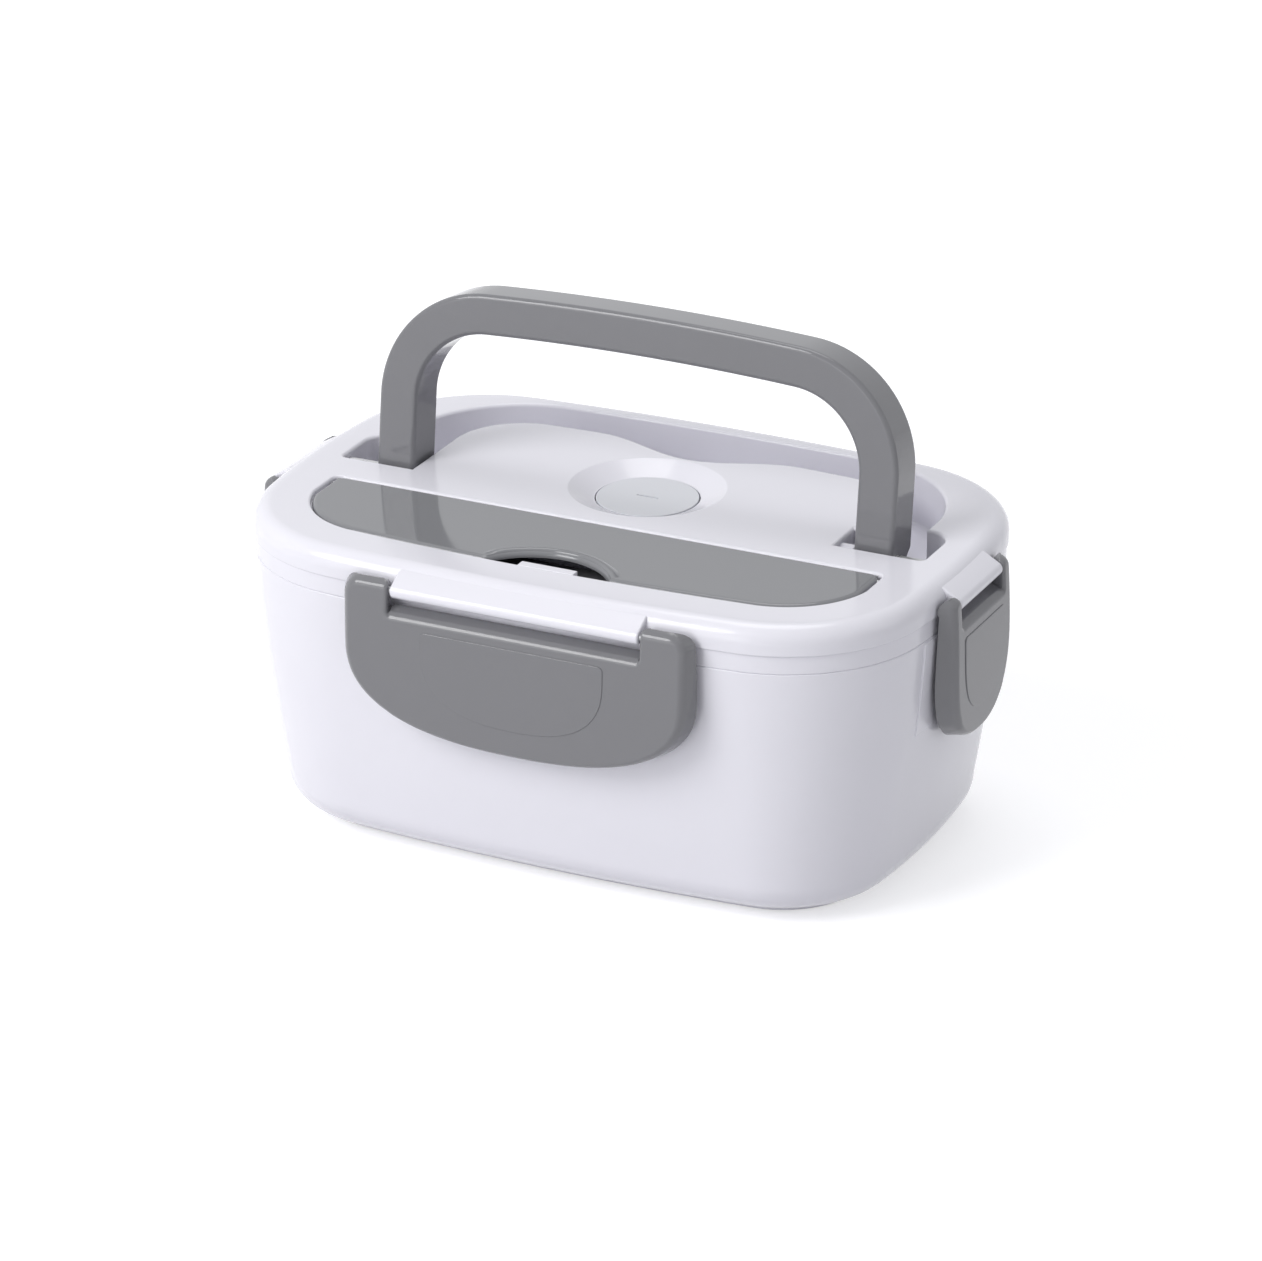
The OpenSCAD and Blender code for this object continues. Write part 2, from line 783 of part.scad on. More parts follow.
module lid_top() {
    color(white) difference() {
        union() {
            difference() {
                union() {
                    difference() {
                        loft(lid_profile(0, band_z));
                        loft(lid_profile(lid_wall, band_z - 1));
                    }
                    level(tub_z, lid_z - lid_wall / 2) channel_2d(lid_wall);
                    level(well_z - lid_wall, lid_z - lid_wall / 2) well_2d(lid_wall);
                    post(0, vent_y, vent_z - vent_floor_t, lid_z - lid_wall / 2, vent_r + lid_wall);
                    post(0, vent_y, tub_z, vent_z, vent_tube_r);
                    at_lid_screws() post(0, 0, tub_z, lid_z - lid_wall / 2, lid_boss_r);
                }
                level(channel_z, lid_z + 1) channel_2d(0);
                level(well_z, lid_z + 1) well_2d(-cover_seat);
                level(lid_z - lid_cover_t, lid_z + 1) well_2d(0);
                rod_x(-well_half, well_half, hinge_y, hinge_z, barrel_r + cover_gap);
                translate([0, vent_y, vent_z])
                    cylinder(h = vent_d + eps, r1 = plug_r + grip_gap, r2 = vent_r, $fn = 96);
                post(0, vent_y, vent_z - vent_floor_t - 1, vent_z + 1, stem_hole_r);
                post(0, vent_y, tub_z - 1, vent_z - vent_floor_t, vent_tube_r - lid_wall);
            }
            both_sides()
                rod_x(pocket_in - 1, grip_half - leg_w - fit_gap, grip_pivot.x, grip_pivot.y, grip_boss_r);
            intersection() {
                level(well_z, lid_z) well_2d(0);
                block([-tab_half, -well_front - 1, lid_z - tab_t],
                    [2 * tab_half, tab_out + 1, tab_t]);
            }
            at_front() hinge_bar(long_latch - long_ear - bar_gap);
            at_rear() hinge_bar(long_latch - long_ear - bar_gap);
            at_right() hinge_bar(side_latch - side_ear - bar_gap);
            at_left() hinge_bar(side_latch - side_ear - bar_gap);
        }
        handle_pins();
        both_sides() rod_x(well_half - 1, well_half + lid_wall, hinge_y, hinge_z, cover_pin_r);
        at_lid_screws() post(0, 0, tub_z - 1, plate_z + lid_screw_l, lid_screw_r);
    }
}

module lid_base() {
    color(white) difference() {
        union() {
            frame(rim_inset, rim_inset + lid_wall, seam_z, band_z);
            frame(rim_inset, plug_inset, seam_z, seam_z + lid_wall);
            frame(plug_wall_inset, plug_inset, plate_z, seam_z + lid_wall);
            slab(plug_wall_inset, plate_z, plug_top);
        }
        post(0, vent_y, plate_z - 1, plug_top + 1, vent_tube_r - lid_wall);
        at_lid_screws() {
            post(0, 0, plate_z - 1, plate_z + lid_wall / 2, screw_head_r + screw_gap);
            post(0, 0, plate_z - 1, plug_top + 1, lid_screw_r + screw_gap);
        }
    }
}

module lid_seal() {
    color(silicone) frame(seal_outer, seal_outer + seal_w, seal_z, plate_z);
}

module lid_screws() {
    color(steel) at_lid_screws() {
        post(0, 0, plate_z + eps, plate_z + lid_wall / 2, screw_head_r);
        post(0, 0, plate_z + lid_wall / 2 - eps, plate_z + lid_screw_l - 1, lid_screw_r);
    }
}

module cutlery_cover() {
    color(grey) difference() {
        union() {
            intersection() {
                level(lid_z - lid_cover_t + eps, lid_z) well_2d(-cover_gap);
                block([-case_l, hinge_y - case_w, 0], [2 * case_l, case_w, 2 * lid_z]);
            }
            rod_x(2 * cover_gap - well_half, well_half - 2 * cover_gap, hinge_y, hinge_z, barrel_r);
        }
        translate([0, notch_d - well_front - notch_r, lid_z - lid_cover_t - 1])
            cylinder(h = 2 * lid_cover_t, r = notch_r, $fn = 120);
        both_sides()
            rod_x(well_half - cover_pin_l - fit_gap, well_half, hinge_y, hinge_z, cover_pin_r + run_gap);
    }
}

module cutlery_cover_pins() {
    color(steel) both_sides()
        rod_x(well_half - cover_pin_l, well_half + lid_wall, hinge_y, hinge_z, cover_pin_r);
}

// Spoon, lying along the well with its bowl at the left

spoon_l = 150;
spoon_w = 9;
spoon_t = 1.4;
bowl_half = [24, 15.5];
bowl_r = 50;
bowl_rise = bowl_r - sqrt(pow(bowl_r, 2) - pow(bowl_half.x, 2)) - spoon_t / 2;
spoon_y = -(well_front + well_back) / 2;
grip_overlap = 4;

module spoon() {
    translate([-spoon_l / 2, spoon_y, well_z]) color(grey) {
        difference() {
            intersection() {
                difference() {
                    translate([bowl_half.x, 0, bowl_r]) sphere(r = bowl_r, $fn = 96);
                    translate([bowl_half.x, 0, bowl_r + spoon_t]) sphere(r = bowl_r, $fn = 96);
                }
                linear_extrude(bowl_r)
                    polygon([for (a = [0:10:350]) [bowl_half.x * (1 + cos(a)), bowl_half.y * sin(a)]]);
            }
            block([2 * bowl_half.x - grip_overlap, -spoon_w, bowl_rise], [grip_overlap, 2 * spoon_w, bowl_r]);
        }
        block([2 * bowl_half.x - grip_overlap, -spoon_w / 2, bowl_rise],
            [spoon_l - 2 * bowl_half.x + grip_overlap - spoon_w / 2, spoon_w, spoon_t]);
        translate([spoon_l - spoon_w / 2, 0, bowl_rise]) cylinder(h = spoon_t, r = spoon_w / 2, $fn = round_fn);
    }
}

module vent_plug() {
    stop_z = vent_z - vent_floor_t - plug_travel - fit_gap;
    color(silicone) translate([0, vent_y, 0]) {
        difference() {
            rotate_extrude($fn = 96) polygon([
                [0, vent_z], [plug_r - 0.6, vent_z], [plug_r, vent_z + 0.6], [plug_r, vent_z + plug_t - 0.8],
                [plug_r - 1, vent_z + plug_t], [plug_r - plug_lip, vent_z + plug_t],
                [plug_r - plug_lip - 0.6, vent_z + plug_t - 0.6], [0, vent_z + plug_t - 0.6]]);
            block([-slit_l / 2, -slit_w / 2, vent_z + plug_t - 1.4], [slit_l, slit_w, 2]);
        }
        post(0, 0, stop_z - plug_foot_t, vent_z + eps, stem_r);
        post(0, 0, stop_z - plug_foot_t, stop_z, stem_hole_r + 1.2);
    }
}

// Handle

// The handle seen from the front, with its edges drawn in by inset
function grip_ring(inset) = concat(
    [[grip_half - inset, -leg_low]], crown(inset),
    [[inset - grip_half, -leg_low], [leg_w - inset - grip_half, -leg_low]],
    let (inner = crown(leg_w - inset)) [for (i = [len(inner) - 1:-1:0]) inner[i]],
    [[grip_half - leg_w + inset, -leg_low]]);

module handle() {
    steps = [[grip_chamfer, grip_back], [0, grip_back - grip_chamfer],
        [0, grip_chamfer - grip_front], [grip_chamfer, -grip_front]];
    low = -leg_low - 1;
    color(grey) translate([0, grip_pivot.x, grip_pivot.y]) rotate([-grip_lean, 0, 0]) difference() {
        skin([for (step = steps) [for (p = grip_ring(step[0])) [p.x, step[1], p.y]]], bent = true);
        bar_x(grip_half + 1, [
            [-grip_front - 1, low], [toe_cut + 1 - grip_front, low], [-grip_front - 1, low + toe_cut + 2]]);
        bar_x(grip_half + 1, [
            [grip_back - heel_cut - 1, low], [grip_back + 1, low], [grip_back + 1, low + heel_cut + 2]]);
        both_sides() rod_x(grip_half - leg_w - 1, grip_half + 1, 0, 0, grip_pin_r + run_gap);
    }
}

module handle_pins() {
    color(steel) both_sides()
        rod_x(pocket_in - lid_wall, pocket_out + lid_wall, grip_pivot.x, grip_pivot.y, grip_pin_r);
}

module front_latch() {
    color(grey) at_front() latch(long_latch, long_ear, long_hook);
}

module rear_latch() {
    color(grey) at_rear() latch(long_latch, long_ear, long_hook);
}

module left_latch() {
    color(grey) at_left() latch(side_latch, side_ear, side_hook);
}

module right_latch() {
    color(grey) at_right() latch(side_latch, side_ear, side_hook);
}

module long_latch_pins() {
    color(steel) {
        at_front() rod_x(-long_latch + pin_sink, long_latch - pin_sink, 0, 0, latch_pin_r);
        at_rear() rod_x(-long_latch + pin_sink, long_latch - pin_sink, 0, 0, latch_pin_r);
    }
}

module side_latch_pins() {
    color(steel) {
        at_right() rod_x(-side_latch + pin_sink, side_latch - pin_sink, 0, 0, latch_pin_r);
        at_left() rod_x(-side_latch + pin_sink, side_latch - pin_sink, 0, 0, latch_pin_r);
    }
}

base_shell();
bottom_cover();
bottom_screws();
rubber_feet();
heating_basin();
heating_plate();
heating_element();
element_clamp();
clamp_screws();
thermostat();
thermal_fuse();
inlet_housing();
inlet_pins();
inlet_wires();
indicator_lens();
indicator_lamp();
food_tray();
side_container();
lid_top();
lid_base();
lid_seal();
lid_screws();
cutlery_cover();
cutlery_cover_pins();
spoon();
vent_plug();
handle();
handle_pins();
front_latch();
rear_latch();
left_latch();
right_latch();
long_latch_pins();
side_latch_pins();
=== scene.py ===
import json
from math import acos, asin, atan2, copysign, cos, degrees, pi, radians, sin, sqrt, tan

import bmesh
import bpy
from mathutils import Matrix, Vector


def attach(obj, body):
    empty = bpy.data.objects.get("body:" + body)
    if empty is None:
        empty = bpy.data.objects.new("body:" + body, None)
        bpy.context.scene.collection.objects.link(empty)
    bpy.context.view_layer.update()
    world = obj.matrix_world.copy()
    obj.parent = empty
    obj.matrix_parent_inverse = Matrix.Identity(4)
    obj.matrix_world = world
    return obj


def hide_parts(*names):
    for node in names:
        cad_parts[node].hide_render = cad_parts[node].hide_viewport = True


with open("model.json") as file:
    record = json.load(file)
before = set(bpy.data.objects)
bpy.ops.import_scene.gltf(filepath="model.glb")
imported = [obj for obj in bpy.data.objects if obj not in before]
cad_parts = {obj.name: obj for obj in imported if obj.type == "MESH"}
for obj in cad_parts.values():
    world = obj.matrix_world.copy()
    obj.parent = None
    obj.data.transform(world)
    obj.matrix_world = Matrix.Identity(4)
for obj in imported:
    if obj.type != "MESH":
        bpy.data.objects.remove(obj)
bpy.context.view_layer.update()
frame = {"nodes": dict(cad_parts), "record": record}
nodes = frame["nodes"]
print("frame loaded:", len(nodes), "nodes")

# shapes are drawn in millimetres and scaled to metres at the end
mm = 0.001
mergeDist = 0.003
meetDist = 0.01         # an outline whose ends are this close is closed
hairline = 0.004        # how far a straight wall is set in from its edge


def bodyOf(nodeName):
    for body, members in frame["record"]["behaviour"]["bodies"].items():
        if nodeName in members:
            return body


def vertsOf(geom):
    return [item for item in geom if isinstance(item, bmesh.types.BMVert)]


def edgesOf(geom):
    return [item for item in geom if isinstance(item, bmesh.types.BMEdge)]


def facesOf(geom):
    return [item for item in geom if isinstance(item, bmesh.types.BMFace)]


def everything(bm):
    return bm.verts[:] + bm.edges[:] + bm.faces[:]


def moveAll(bm, matrix):
    bmesh.ops.transform(bm, matrix=matrix, verts=bm.verts)


def addObject(name, data):
    obj = bpy.data.objects.new(name, data)
    bpy.context.scene.collection.objects.link(obj)
    return obj


# a place: moved to a point after a turn about an axis
def placed(point, turn=0.0, axis="Z"):
    return Matrix.Translation(point) @ Matrix.Rotation(turn, 4, axis)


# a closed outline: each step runs straight to a point, or turns about a centre by so many degrees in parts
def drawRing(bm, start, steps, z=0.0):
    known = set(bm.edges)
    first = tip = bm.verts.new((*start, z))
    for step in steps:
        if len(step) == 3:
            centre, turn, parts = step
            turned = bmesh.ops.spin(bm, geom=[tip], cent=(*centre, z), axis=(0, 0, 1),
                                    angle=radians(turn), steps=parts)
            tip = vertsOf(turned["geom_last"])[0]
        else:
            tip = bmesh.ops.extrude_vert_indiv(bm, verts=[tip])["verts"][0]
            tip.co = (*step, z)
    if (tip.co - first.co).length < meetDist:
        bmesh.ops.weld_verts(bm, targetmap={tip: first})
    else:
        bm.edges.new((tip, first))
    return [edge for edge in bm.edges if edge not in known]


def faceUp(bm, face):
    face.normal_update()
    if face.normal.z < 0:
        bmesh.ops.reverse_faces(bm, faces=[face])
        face.normal_update()


def drawPlan(bm, start, steps, z=0.0):
    face = facesOf(bmesh.ops.contextual_create(bm, geom=drawRing(bm, start, steps, z))["faces"])[0]
    faceUp(bm, face)
    return face


def drawDisc(bm, radius, place, segments=48, down=False):
    circle = bmesh.ops.create_circle(bm, cap_ends=True, segments=segments, radius=radius,
                                     matrix=placed(place, pi if down else 0.0, "X"))
    return circle["verts"][0].link_faces[0]


# lifts a face into a straight-sided block and gives back its top
def raiseFace(bm, face, height):
    top = facesOf(bmesh.ops.extrude_face_region(bm, geom=[face])["geom"])[0]
    bmesh.ops.translate(bm, verts=top.verts[:], vec=(0, 0, height))
    bmesh.ops.recalc_face_normals(bm, faces=bm.faces)
    return top


def insetFaces(bm, faces, thickness, depth=0.0):
    bmesh.ops.inset_region(bm, faces=faces, use_boundary=True, use_even_offset=True, thickness=thickness,
                           depth=depth)


# moves a face inwards and along its normal, ring by ring
def insetSteps(bm, face, steps):
    for thickness, depth in steps:
        face.normal_update()
        insetFaces(bm, [face], thickness, depth)


def arcSteps(radius, parts, lip, sign=1, full=90):
    turns = [radians(full * i / parts) for i in range(parts + 1)]
    steps = []
    for a, b in zip(turns, turns[1:]):
        flat, steep = radius * (sin(b) - sin(a)), radius * (cos(a) - cos(b))
        steps.append((flat, sign * steep) if lip else (steep, sign * flat))
    return steps


# a rounded edge round a face that stands out, and a rounded lip round one that sinks in
def roundOver(bm, face, radius, parts=3):
    insetSteps(bm, face, arcSteps(radius, parts, False))


def roundInto(bm, face, radius, parts=4, full=90):
    insetSteps(bm, face, arcSteps(radius, parts, True, -1, full))


def sinkFace(bm, face, depth):
    insetSteps(bm, face, [(hairline, -depth)])


def roundFloor(bm, face, radius, parts=3):
    insetSteps(bm, face, arcSteps(radius, parts, False, -1))


# a flat face between an outer ring and the faces that will sink in;
# turned meanwhile, as level vertices upset the fill
def fillAround(bm, ring, holes, normal=(0, 0, 1), turn=0.37):
    edges = list(ring) + [edge for hole in holes for edge in hole.edges]
    bmesh.ops.rotate(bm, verts=bm.verts, cent=(0, 0, 0), matrix=Matrix.Rotation(turn, 3, "Z"))
    bmesh.ops.triangle_fill(bm, use_beauty=True, use_dissolve=False, edges=edges, normal=normal)
    bmesh.ops.rotate(bm, verts=bm.verts, cent=(0, 0, 0), matrix=Matrix.Rotation(-turn, 3, "Z"))


def bevelEdges(bm, edges, width):
    bmesh.ops.bevel(bm, geom=edges, offset=width, affect="EDGES", segments=3, profile=0.5, material=-1)


# closes an underside and sinks a round hole into it at each x, y and radius
def drillUnder(bm, ring, places, low, depth, segments):
    holes = [drawDisc(bm, radius, (x, y, low), segments, down=True) for x, y, radius in places]
    fillAround(bm, ring, holes, (0, 0, -1))
    for hole in holes:
        sinkFace(bm, hole, depth)


# cuts away what lies beyond a plane and closes the cut
def cutAndCap(bm, point, normal):
    cut = bmesh.ops.bisect_plane(bm, geom=everything(bm), plane_co=point, plane_no=normal,
                                 clear_outer=True)["geom_cut"]
    bmesh.ops.holes_fill(bm, edges=edgesOf(cut), sides=0)


# copies a finished shape into another mesh, once at each place
def stamp(bm, shape, places=(Matrix.Identity(4),)):
    bmesh.ops.recalc_face_normals(shape, faces=shape.faces)
    mesh = bpy.data.meshes.new("stamp")
    shape.to_mesh(mesh)
    shape.free()
    for place in places:
        copy = mesh.copy()
        copy.transform(place)
        bm.from_mesh(copy)
        bpy.data.meshes.remove(copy)
    bpy.data.meshes.remove(mesh)


def fourPlaces(x, y):
    return [Matrix.Translation((sx * x, sy * y, 0)) for sx in (-1, 1) for sy in (-1, 1)]


def finishMesh(bm, name, sharp=38):
    mesh = bpy.data.meshes.new(name)
    bm.to_mesh(mesh)
    bm.free()
    for face in mesh.polygons:
        face.use_smooth = True
    mesh.set_sharp_from_angle(angle=radians(sharp))
    return addObject(name, mesh)


# evens the shading and rides the piece on the body of the node that it stands for
def standFor(obj, nodeName):
    normals = obj.modifiers.new("normals", "WEIGHTED_NORMAL")
    normals.keep_sharp = True
    normals.weight = 60
    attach(obj, bodyOf(nodeName))
    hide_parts(nodeName)


def cleanUp(bm, dist=mergeDist):
    bmesh.ops.remove_doubles(bm, verts=bm.verts, dist=dist)
    bmesh.ops.recalc_face_normals(bm, faces=bm.faces)


# cleans up and scales to metres
def finishPiece(bm, name, material, nodeName):
    cleanUp(bm)
    bmesh.ops.scale(bm, vec=(mm, mm, mm), verts=bm.verts)
    obj = finishMesh(bm, name)
    obj.data.materials.append(material)
    standFor(obj, nodeName)


# camera first, at the photograph's angle
cameraView = {"azimuth": 25.744, "elevation": 23.207, "distance": 1.801, "target": (0, 0, 0.06),
              "pixelsPerMm": 3.1556, "imageWidth": 1262, "offset": (0.585, 1.749)}


def placeCamera(spec):
    az, el = radians(spec["azimuth"]), radians(spec["elevation"])
    back = Vector((sin(az) * cos(el), -cos(az) * cos(el), sin(el)))
    data = bpy.data.cameras.new("photoCamera")
    data.sensor_width = 36
    data.lens = spec["pixelsPerMm"] * spec["distance"] / mm / spec["imageWidth"] * data.sensor_width
    data.shift_x = spec["offset"][0] / spec["imageWidth"]
    data.shift_y = spec["offset"][1] / spec["imageWidth"]
    data.clip_end = 30
    camera = addObject("photoCamera", data)
    camera.location = Vector(spec["target"]) + back * spec["distance"]
    camera.rotation_euler = back.to_track_quat("Z", "Y").to_euler()
    bpy.context.scene.camera = camera


placeCamera(cameraView)
print("camera placed")


# shader groups that several finishes share
def makeGroup(name, inputs):
    group = bpy.data.node_groups.new(name, "ShaderNodeTree")
    for label, kind, value in inputs:
        socket = group.interface.new_socket(name=label, in_out="INPUT", socket_type="NodeSocket" + kind)
        socket.default_value = value
    for label, kind in (("Colour", "Color"), ("Roughness", "Float"), ("Height", "Float")):
        group.interface.new_socket(name=label, in_out="OUTPUT", socket_type="NodeSocket" + kind)
    take, give = group.nodes.new("NodeGroupInput"), group.nodes.new("NodeGroupOutput")
    return group, take.outputs, give, group.nodes.new("ShaderNodeTexCoord").outputs["Object"]


# gives a node's inputs their values, or links them to what other nodes give out
def setInputs(tree, node, values):
    for label, value in values.items():
        if isinstance(value, bpy.types.NodeSocket):
            tree.links.new(value, node.inputs[label])
        else:
            node.inputs[label].default_value = value


def workNode(tree, operation, values, kind="ShaderNodeVectorMath"):
    node = tree.nodes.new(kind)
    node.operation = operation
    setInputs(tree, node, values)
    return node.outputs[0]


def mathNode(tree, operation, first, second):
    return workNode(tree, operation, {0: first, 1: second}, "ShaderNodeMath")


def noiseNode(tree, place, scale, detail, rough):
    node = tree.nodes.new("ShaderNodeTexNoise")
    setInputs(tree, node, {"Vector": place, "Scale": scale, "Detail": detail, "Roughness": rough})
    return node.outputs["Fac"]


# a noise made to swing about zero by so much
def swingNode(tree, noise, amount):
    return mathNode(tree, "MULTIPLY", mathNode(tree, "SUBTRACT", noise, 0.5), amount)


# a colour made lighter and darker by a noise
def tintNode(tree, colour, noise, amount):
    share = mathNode(tree, "ADD", swingNode(tree, noise, amount), 1.0)
    return workNode(tree, "SCALE", {0: colour, "Scale": share})


# noises are scale, detail and roughness
mouldedSpec = {"cloud": (22, 3, 0.55), "skin": (900, 2, 0.5), "ripple": (160, 2, 0.5), "scuff": (70, 6, 0.7),
               "scuffStretch": (1, 1, 14), "scuffStart": 0.64, "rippleRough": 0.06, "rippleHeight": 0.5}
brushedSpec = {"lines": (6, 4, 0.6), "stain": (30, 3, 0.5), "stainTone": 0.12, "lineRough": 0.3}


# moulded plastic: faint flow clouding, a fine skin and a few handling scuffs
def makeMoulded(spec):
    group, take, give, place = makeGroup("mouldedSkin", [
        ("Colour", "Color", (0.8, 0.8, 0.8, 1)), ("Clouding", "Float", 0.03), ("Roughness", "Float", 0.2),
        ("Scuffs", "Float", 0.05), ("Skin", "Float", 0.5)])
    cloud = noiseNode(group, place, *spec["cloud"])
    ripple = noiseNode(group, place, *spec["ripple"])
    stretch = group.nodes.new("ShaderNodeMapping")
    setInputs(group, stretch, {"Vector": place, "Scale": spec["scuffStretch"]})
    scuff = noiseNode(group, stretch.outputs["Vector"], *spec["scuff"])
    worn = mathNode(group, "GREATER_THAN", scuff, spec["scuffStart"])
    rub = mathNode(group, "MULTIPLY", worn, take["Scuffs"])
    soft = mathNode(group, "ADD", take["Roughness"], swingNode(group, ripple, spec["rippleRough"]))
    fine = mathNode(group, "MULTIPLY", noiseNode(group, place, *spec["skin"]), take["Skin"])
    wave = mathNode(group, "MULTIPLY", ripple, spec["rippleHeight"])
    setInputs(group, give, {"Colour": tintNode(group, take["Colour"], cloud, take["Clouding"]),
                            "Roughness": mathNode(group, "ADD", soft, rub),
                            "Height": mathNode(group, "ADD", fine, wave)})
    return group


# drawn or brushed metal: long fine lines with a slow change of tone
def makeBrushed(spec):
    group, take, give, place = makeGroup("brushedMetal", [
        ("Colour", "Color", (0.6, 0.6, 0.6, 1)), ("Roughness", "Float", 0.3),
        ("Lines", "Vector", (4, 4, 400))])
    stain = noiseNode(group, place, *spec["stain"])
    lines = noiseNode(group, workNode(group, "MULTIPLY", {0: place, 1: take["Lines"]}), *spec["lines"])
    rough = mathNode(group, "ADD", take["Roughness"], swingNode(group, lines, spec["lineRough"]))
    setInputs(group, give, {"Colour": tintNode(group, take["Colour"], stain, spec["stainTone"]),
                            "Roughness": rough, "Height": lines})
    return group


mouldedSkin = makeMoulded(mouldedSpec)
brushedMetal = makeBrushed(brushedSpec)


def newMaterial(name):
    material = bpy.data.materials.new(name)
    material.use_nodes = True
    return material, material.node_tree, material.node_tree.nodes["Principled BSDF"]


def makeFinish(name, group, settings, bump, fixed):
    material, tree, shader = newMaterial(name)
    skin = tree.nodes.new("ShaderNodeGroup")
    skin.node_tree = group
    setInputs(tree, skin, settings)
    relief = tree.nodes.new("ShaderNodeBump")
    setInputs(tree, relief, {"Strength": 1.0, "Distance": bump * mm, "Height": skin.outputs["Height"]})
    setInputs(tree, shader, dict(fixed, **{"Base Color": skin.outputs["Colour"],
                                           "Roughness": skin.outputs["Roughness"],
                                           "Normal": relief.outputs["Normal"]}))
    return material


def plastic(name, colour, roughness, clouding, scuffs, skin=0.5, bump=0.012, coat=0.0):
    settings = {"Colour": (*colour, 1), "Roughness": roughness, "Clouding": clouding, "Scuffs": scuffs,
                "Skin": skin}
    return makeFinish(name, mouldedSkin, settings, bump, {"Coat Weight": coat})


def metal(name, colour, roughness, lines=(4, 4, 400), bump=0.01):
    settings = {"Colour": (*colour, 1), "Roughness": roughness, "Lines": lines}
    return makeFinish(name, brushedMetal, settings, bump, {"Metallic": 1.0})


# colour, roughness, clouding, scuffs, skin and bump in mm
whitePlastic = plastic("whiteGlossPlastic", (0.80, 0.79, 0.85), 0.17, 0.02, 0.03, 0.4, 0.009)
greyPlastic = plastic("greyGlossPlastic", (0.192, 0.192, 0.204), 0.07, 0.05, 0.05, 0.35, 0.008)
# the cover's copy of the grey plastic, painted lighter than the handle's to stand in for the light and
# reflection that its flat, upward-facing top catches
coverLitGreyPlastic = plastic("coverGreyPaintedLighter", (0.225, 0.228, 0.24), 0.07, 0.04, 0.04, 0.3, 0.006)
darkPlastic = plastic("darkMattPlastic", (0.03, 0.03, 0.034), 0.5, 0.1, 0.1, 1.0, 0.03)
trayPlastic = plastic("trayPlastic", (0.72, 0.72, 0.74), 0.38, 0.03, 0.06, 0.8, 0.02)
siliconeSkin = plastic("clearSilicone", (0.68, 0.69, 0.73), 0.34, 0.06, 0.08, 1.0, 0.02)
footRubber = plastic("footRubber", (0.05, 0.05, 0.055), 0.7, 0.2, 0.1, 1.5, 0.05)
ceramicBody = plastic("dryCeramic", (0.62, 0.60, 0.56), 0.8, 0.15, 0.0, 1.5, 0.05)
wireSleeve = plastic("wireSleeve", (0.5, 0.05, 0.04), 0.45, 0.08, 0.05)
amberLens = plastic("amberLens", (0.8, 0.32, 0.04), 0.1, 0.02, 0.02, coat=0.5)
lampBody = plastic("frostedLamp", (0.85, 0.85, 0.8), 0.3, 0.05, 0.02)
pinSteel = metal("pinSteel", (0.55, 0.55, 0.56), 0.3, (90, 4, 4), 0.003)
basinSteel = metal("basinSteel", (0.6, 0.6, 0.61), 0.3)
plateAluminium = metal("plateAluminium", (0.68, 0.68, 0.69), 0.35, (200, 4, 4))
contactBrass = metal("contactBrass", (0.72, 0.55, 0.27), 0.25)
print("finishes made")


# CAD nodes that keep their own shape
keptNodes = {
    pinSteel: ("bottom_screws", "element_clamp", "clamp_screws", "lid_screws", "cutlery_cover_pins",
               "handle_pins", "long_latch_pins", "side_latch_pins"),
    plateAluminium: ("heating_plate",), ceramicBody: ("heating_element", "thermal_fuse"),
    darkPlastic: ("thermostat",), contactBrass: ("inlet_pins",), wireSleeve: ("inlet_wires",),
    lampBody: ("indicator_lamp",), amberLens: ("indicator_lens",)}
for material, kept in keptNodes.items():
    for nodeName in kept:
        nodes[nodeName].data.materials.clear()
        nodes[nodeName].data.materials.append(material)

# CAD nodes that take rounded moulding edges: new name, finish, width and segments of the rounding
dressedNodes = {
    "heating_basin": ("heatingBasin", basinSteel, 0.3, 2),
    "inlet_housing": ("inletHousing", darkPlastic, 0.4, 2),
    "food_tray": ("foodTray", trayPlastic, 0.4, 3),
    "side_container": ("sideContainer", whitePlastic, 0.5, 3),
    "spoon": ("spoonBody", greyPlastic, 0.3, 2)}
dressSpec = {"merge": 2e-6, "flat": 0.3, "shadeSharp": 80, "roundFrom": 40}


def dress(spec, nodeName, pieceName, material, width, segments):
    bm = bmesh.new()
    bm.from_mesh(nodes[nodeName].data)
    bmesh.ops.remove_doubles(bm, verts=bm.verts, dist=spec["merge"])
    bmesh.ops.dissolve_limit(bm, angle_limit=radians(spec["flat"]), verts=bm.verts, edges=bm.edges,
                             delimit={"NORMAL"})
    bmesh.ops.recalc_face_normals(bm, faces=bm.faces)
    obj = finishMesh(bm, pieceName, spec["shadeSharp"])
    obj.data.materials.append(material)
    bevel = obj.modifiers.new("round", "BEVEL")
    bevel.width = width * mm
    bevel.segments = segments
    bevel.limit_method = "ANGLE"
    bevel.angle_limit = radians(spec["roundFrom"])
    bevel.miter_outer = "MITER_ARC"
    standFor(obj, nodeName)


for nodeName, entry in dressedNodes.items():
    dress(dressSpec, nodeName, *entry)
print("CAD pieces painted and dressed")


# the case outline: arcs that share their tangents, so an inset keeps every centre
caseSpec = {"length": 230, "width": 156, "corner": 48, "longBulge": 8, "endBulge": 10.5,
            "longParts": 30, "endParts": 6, "cornerParts": 20}


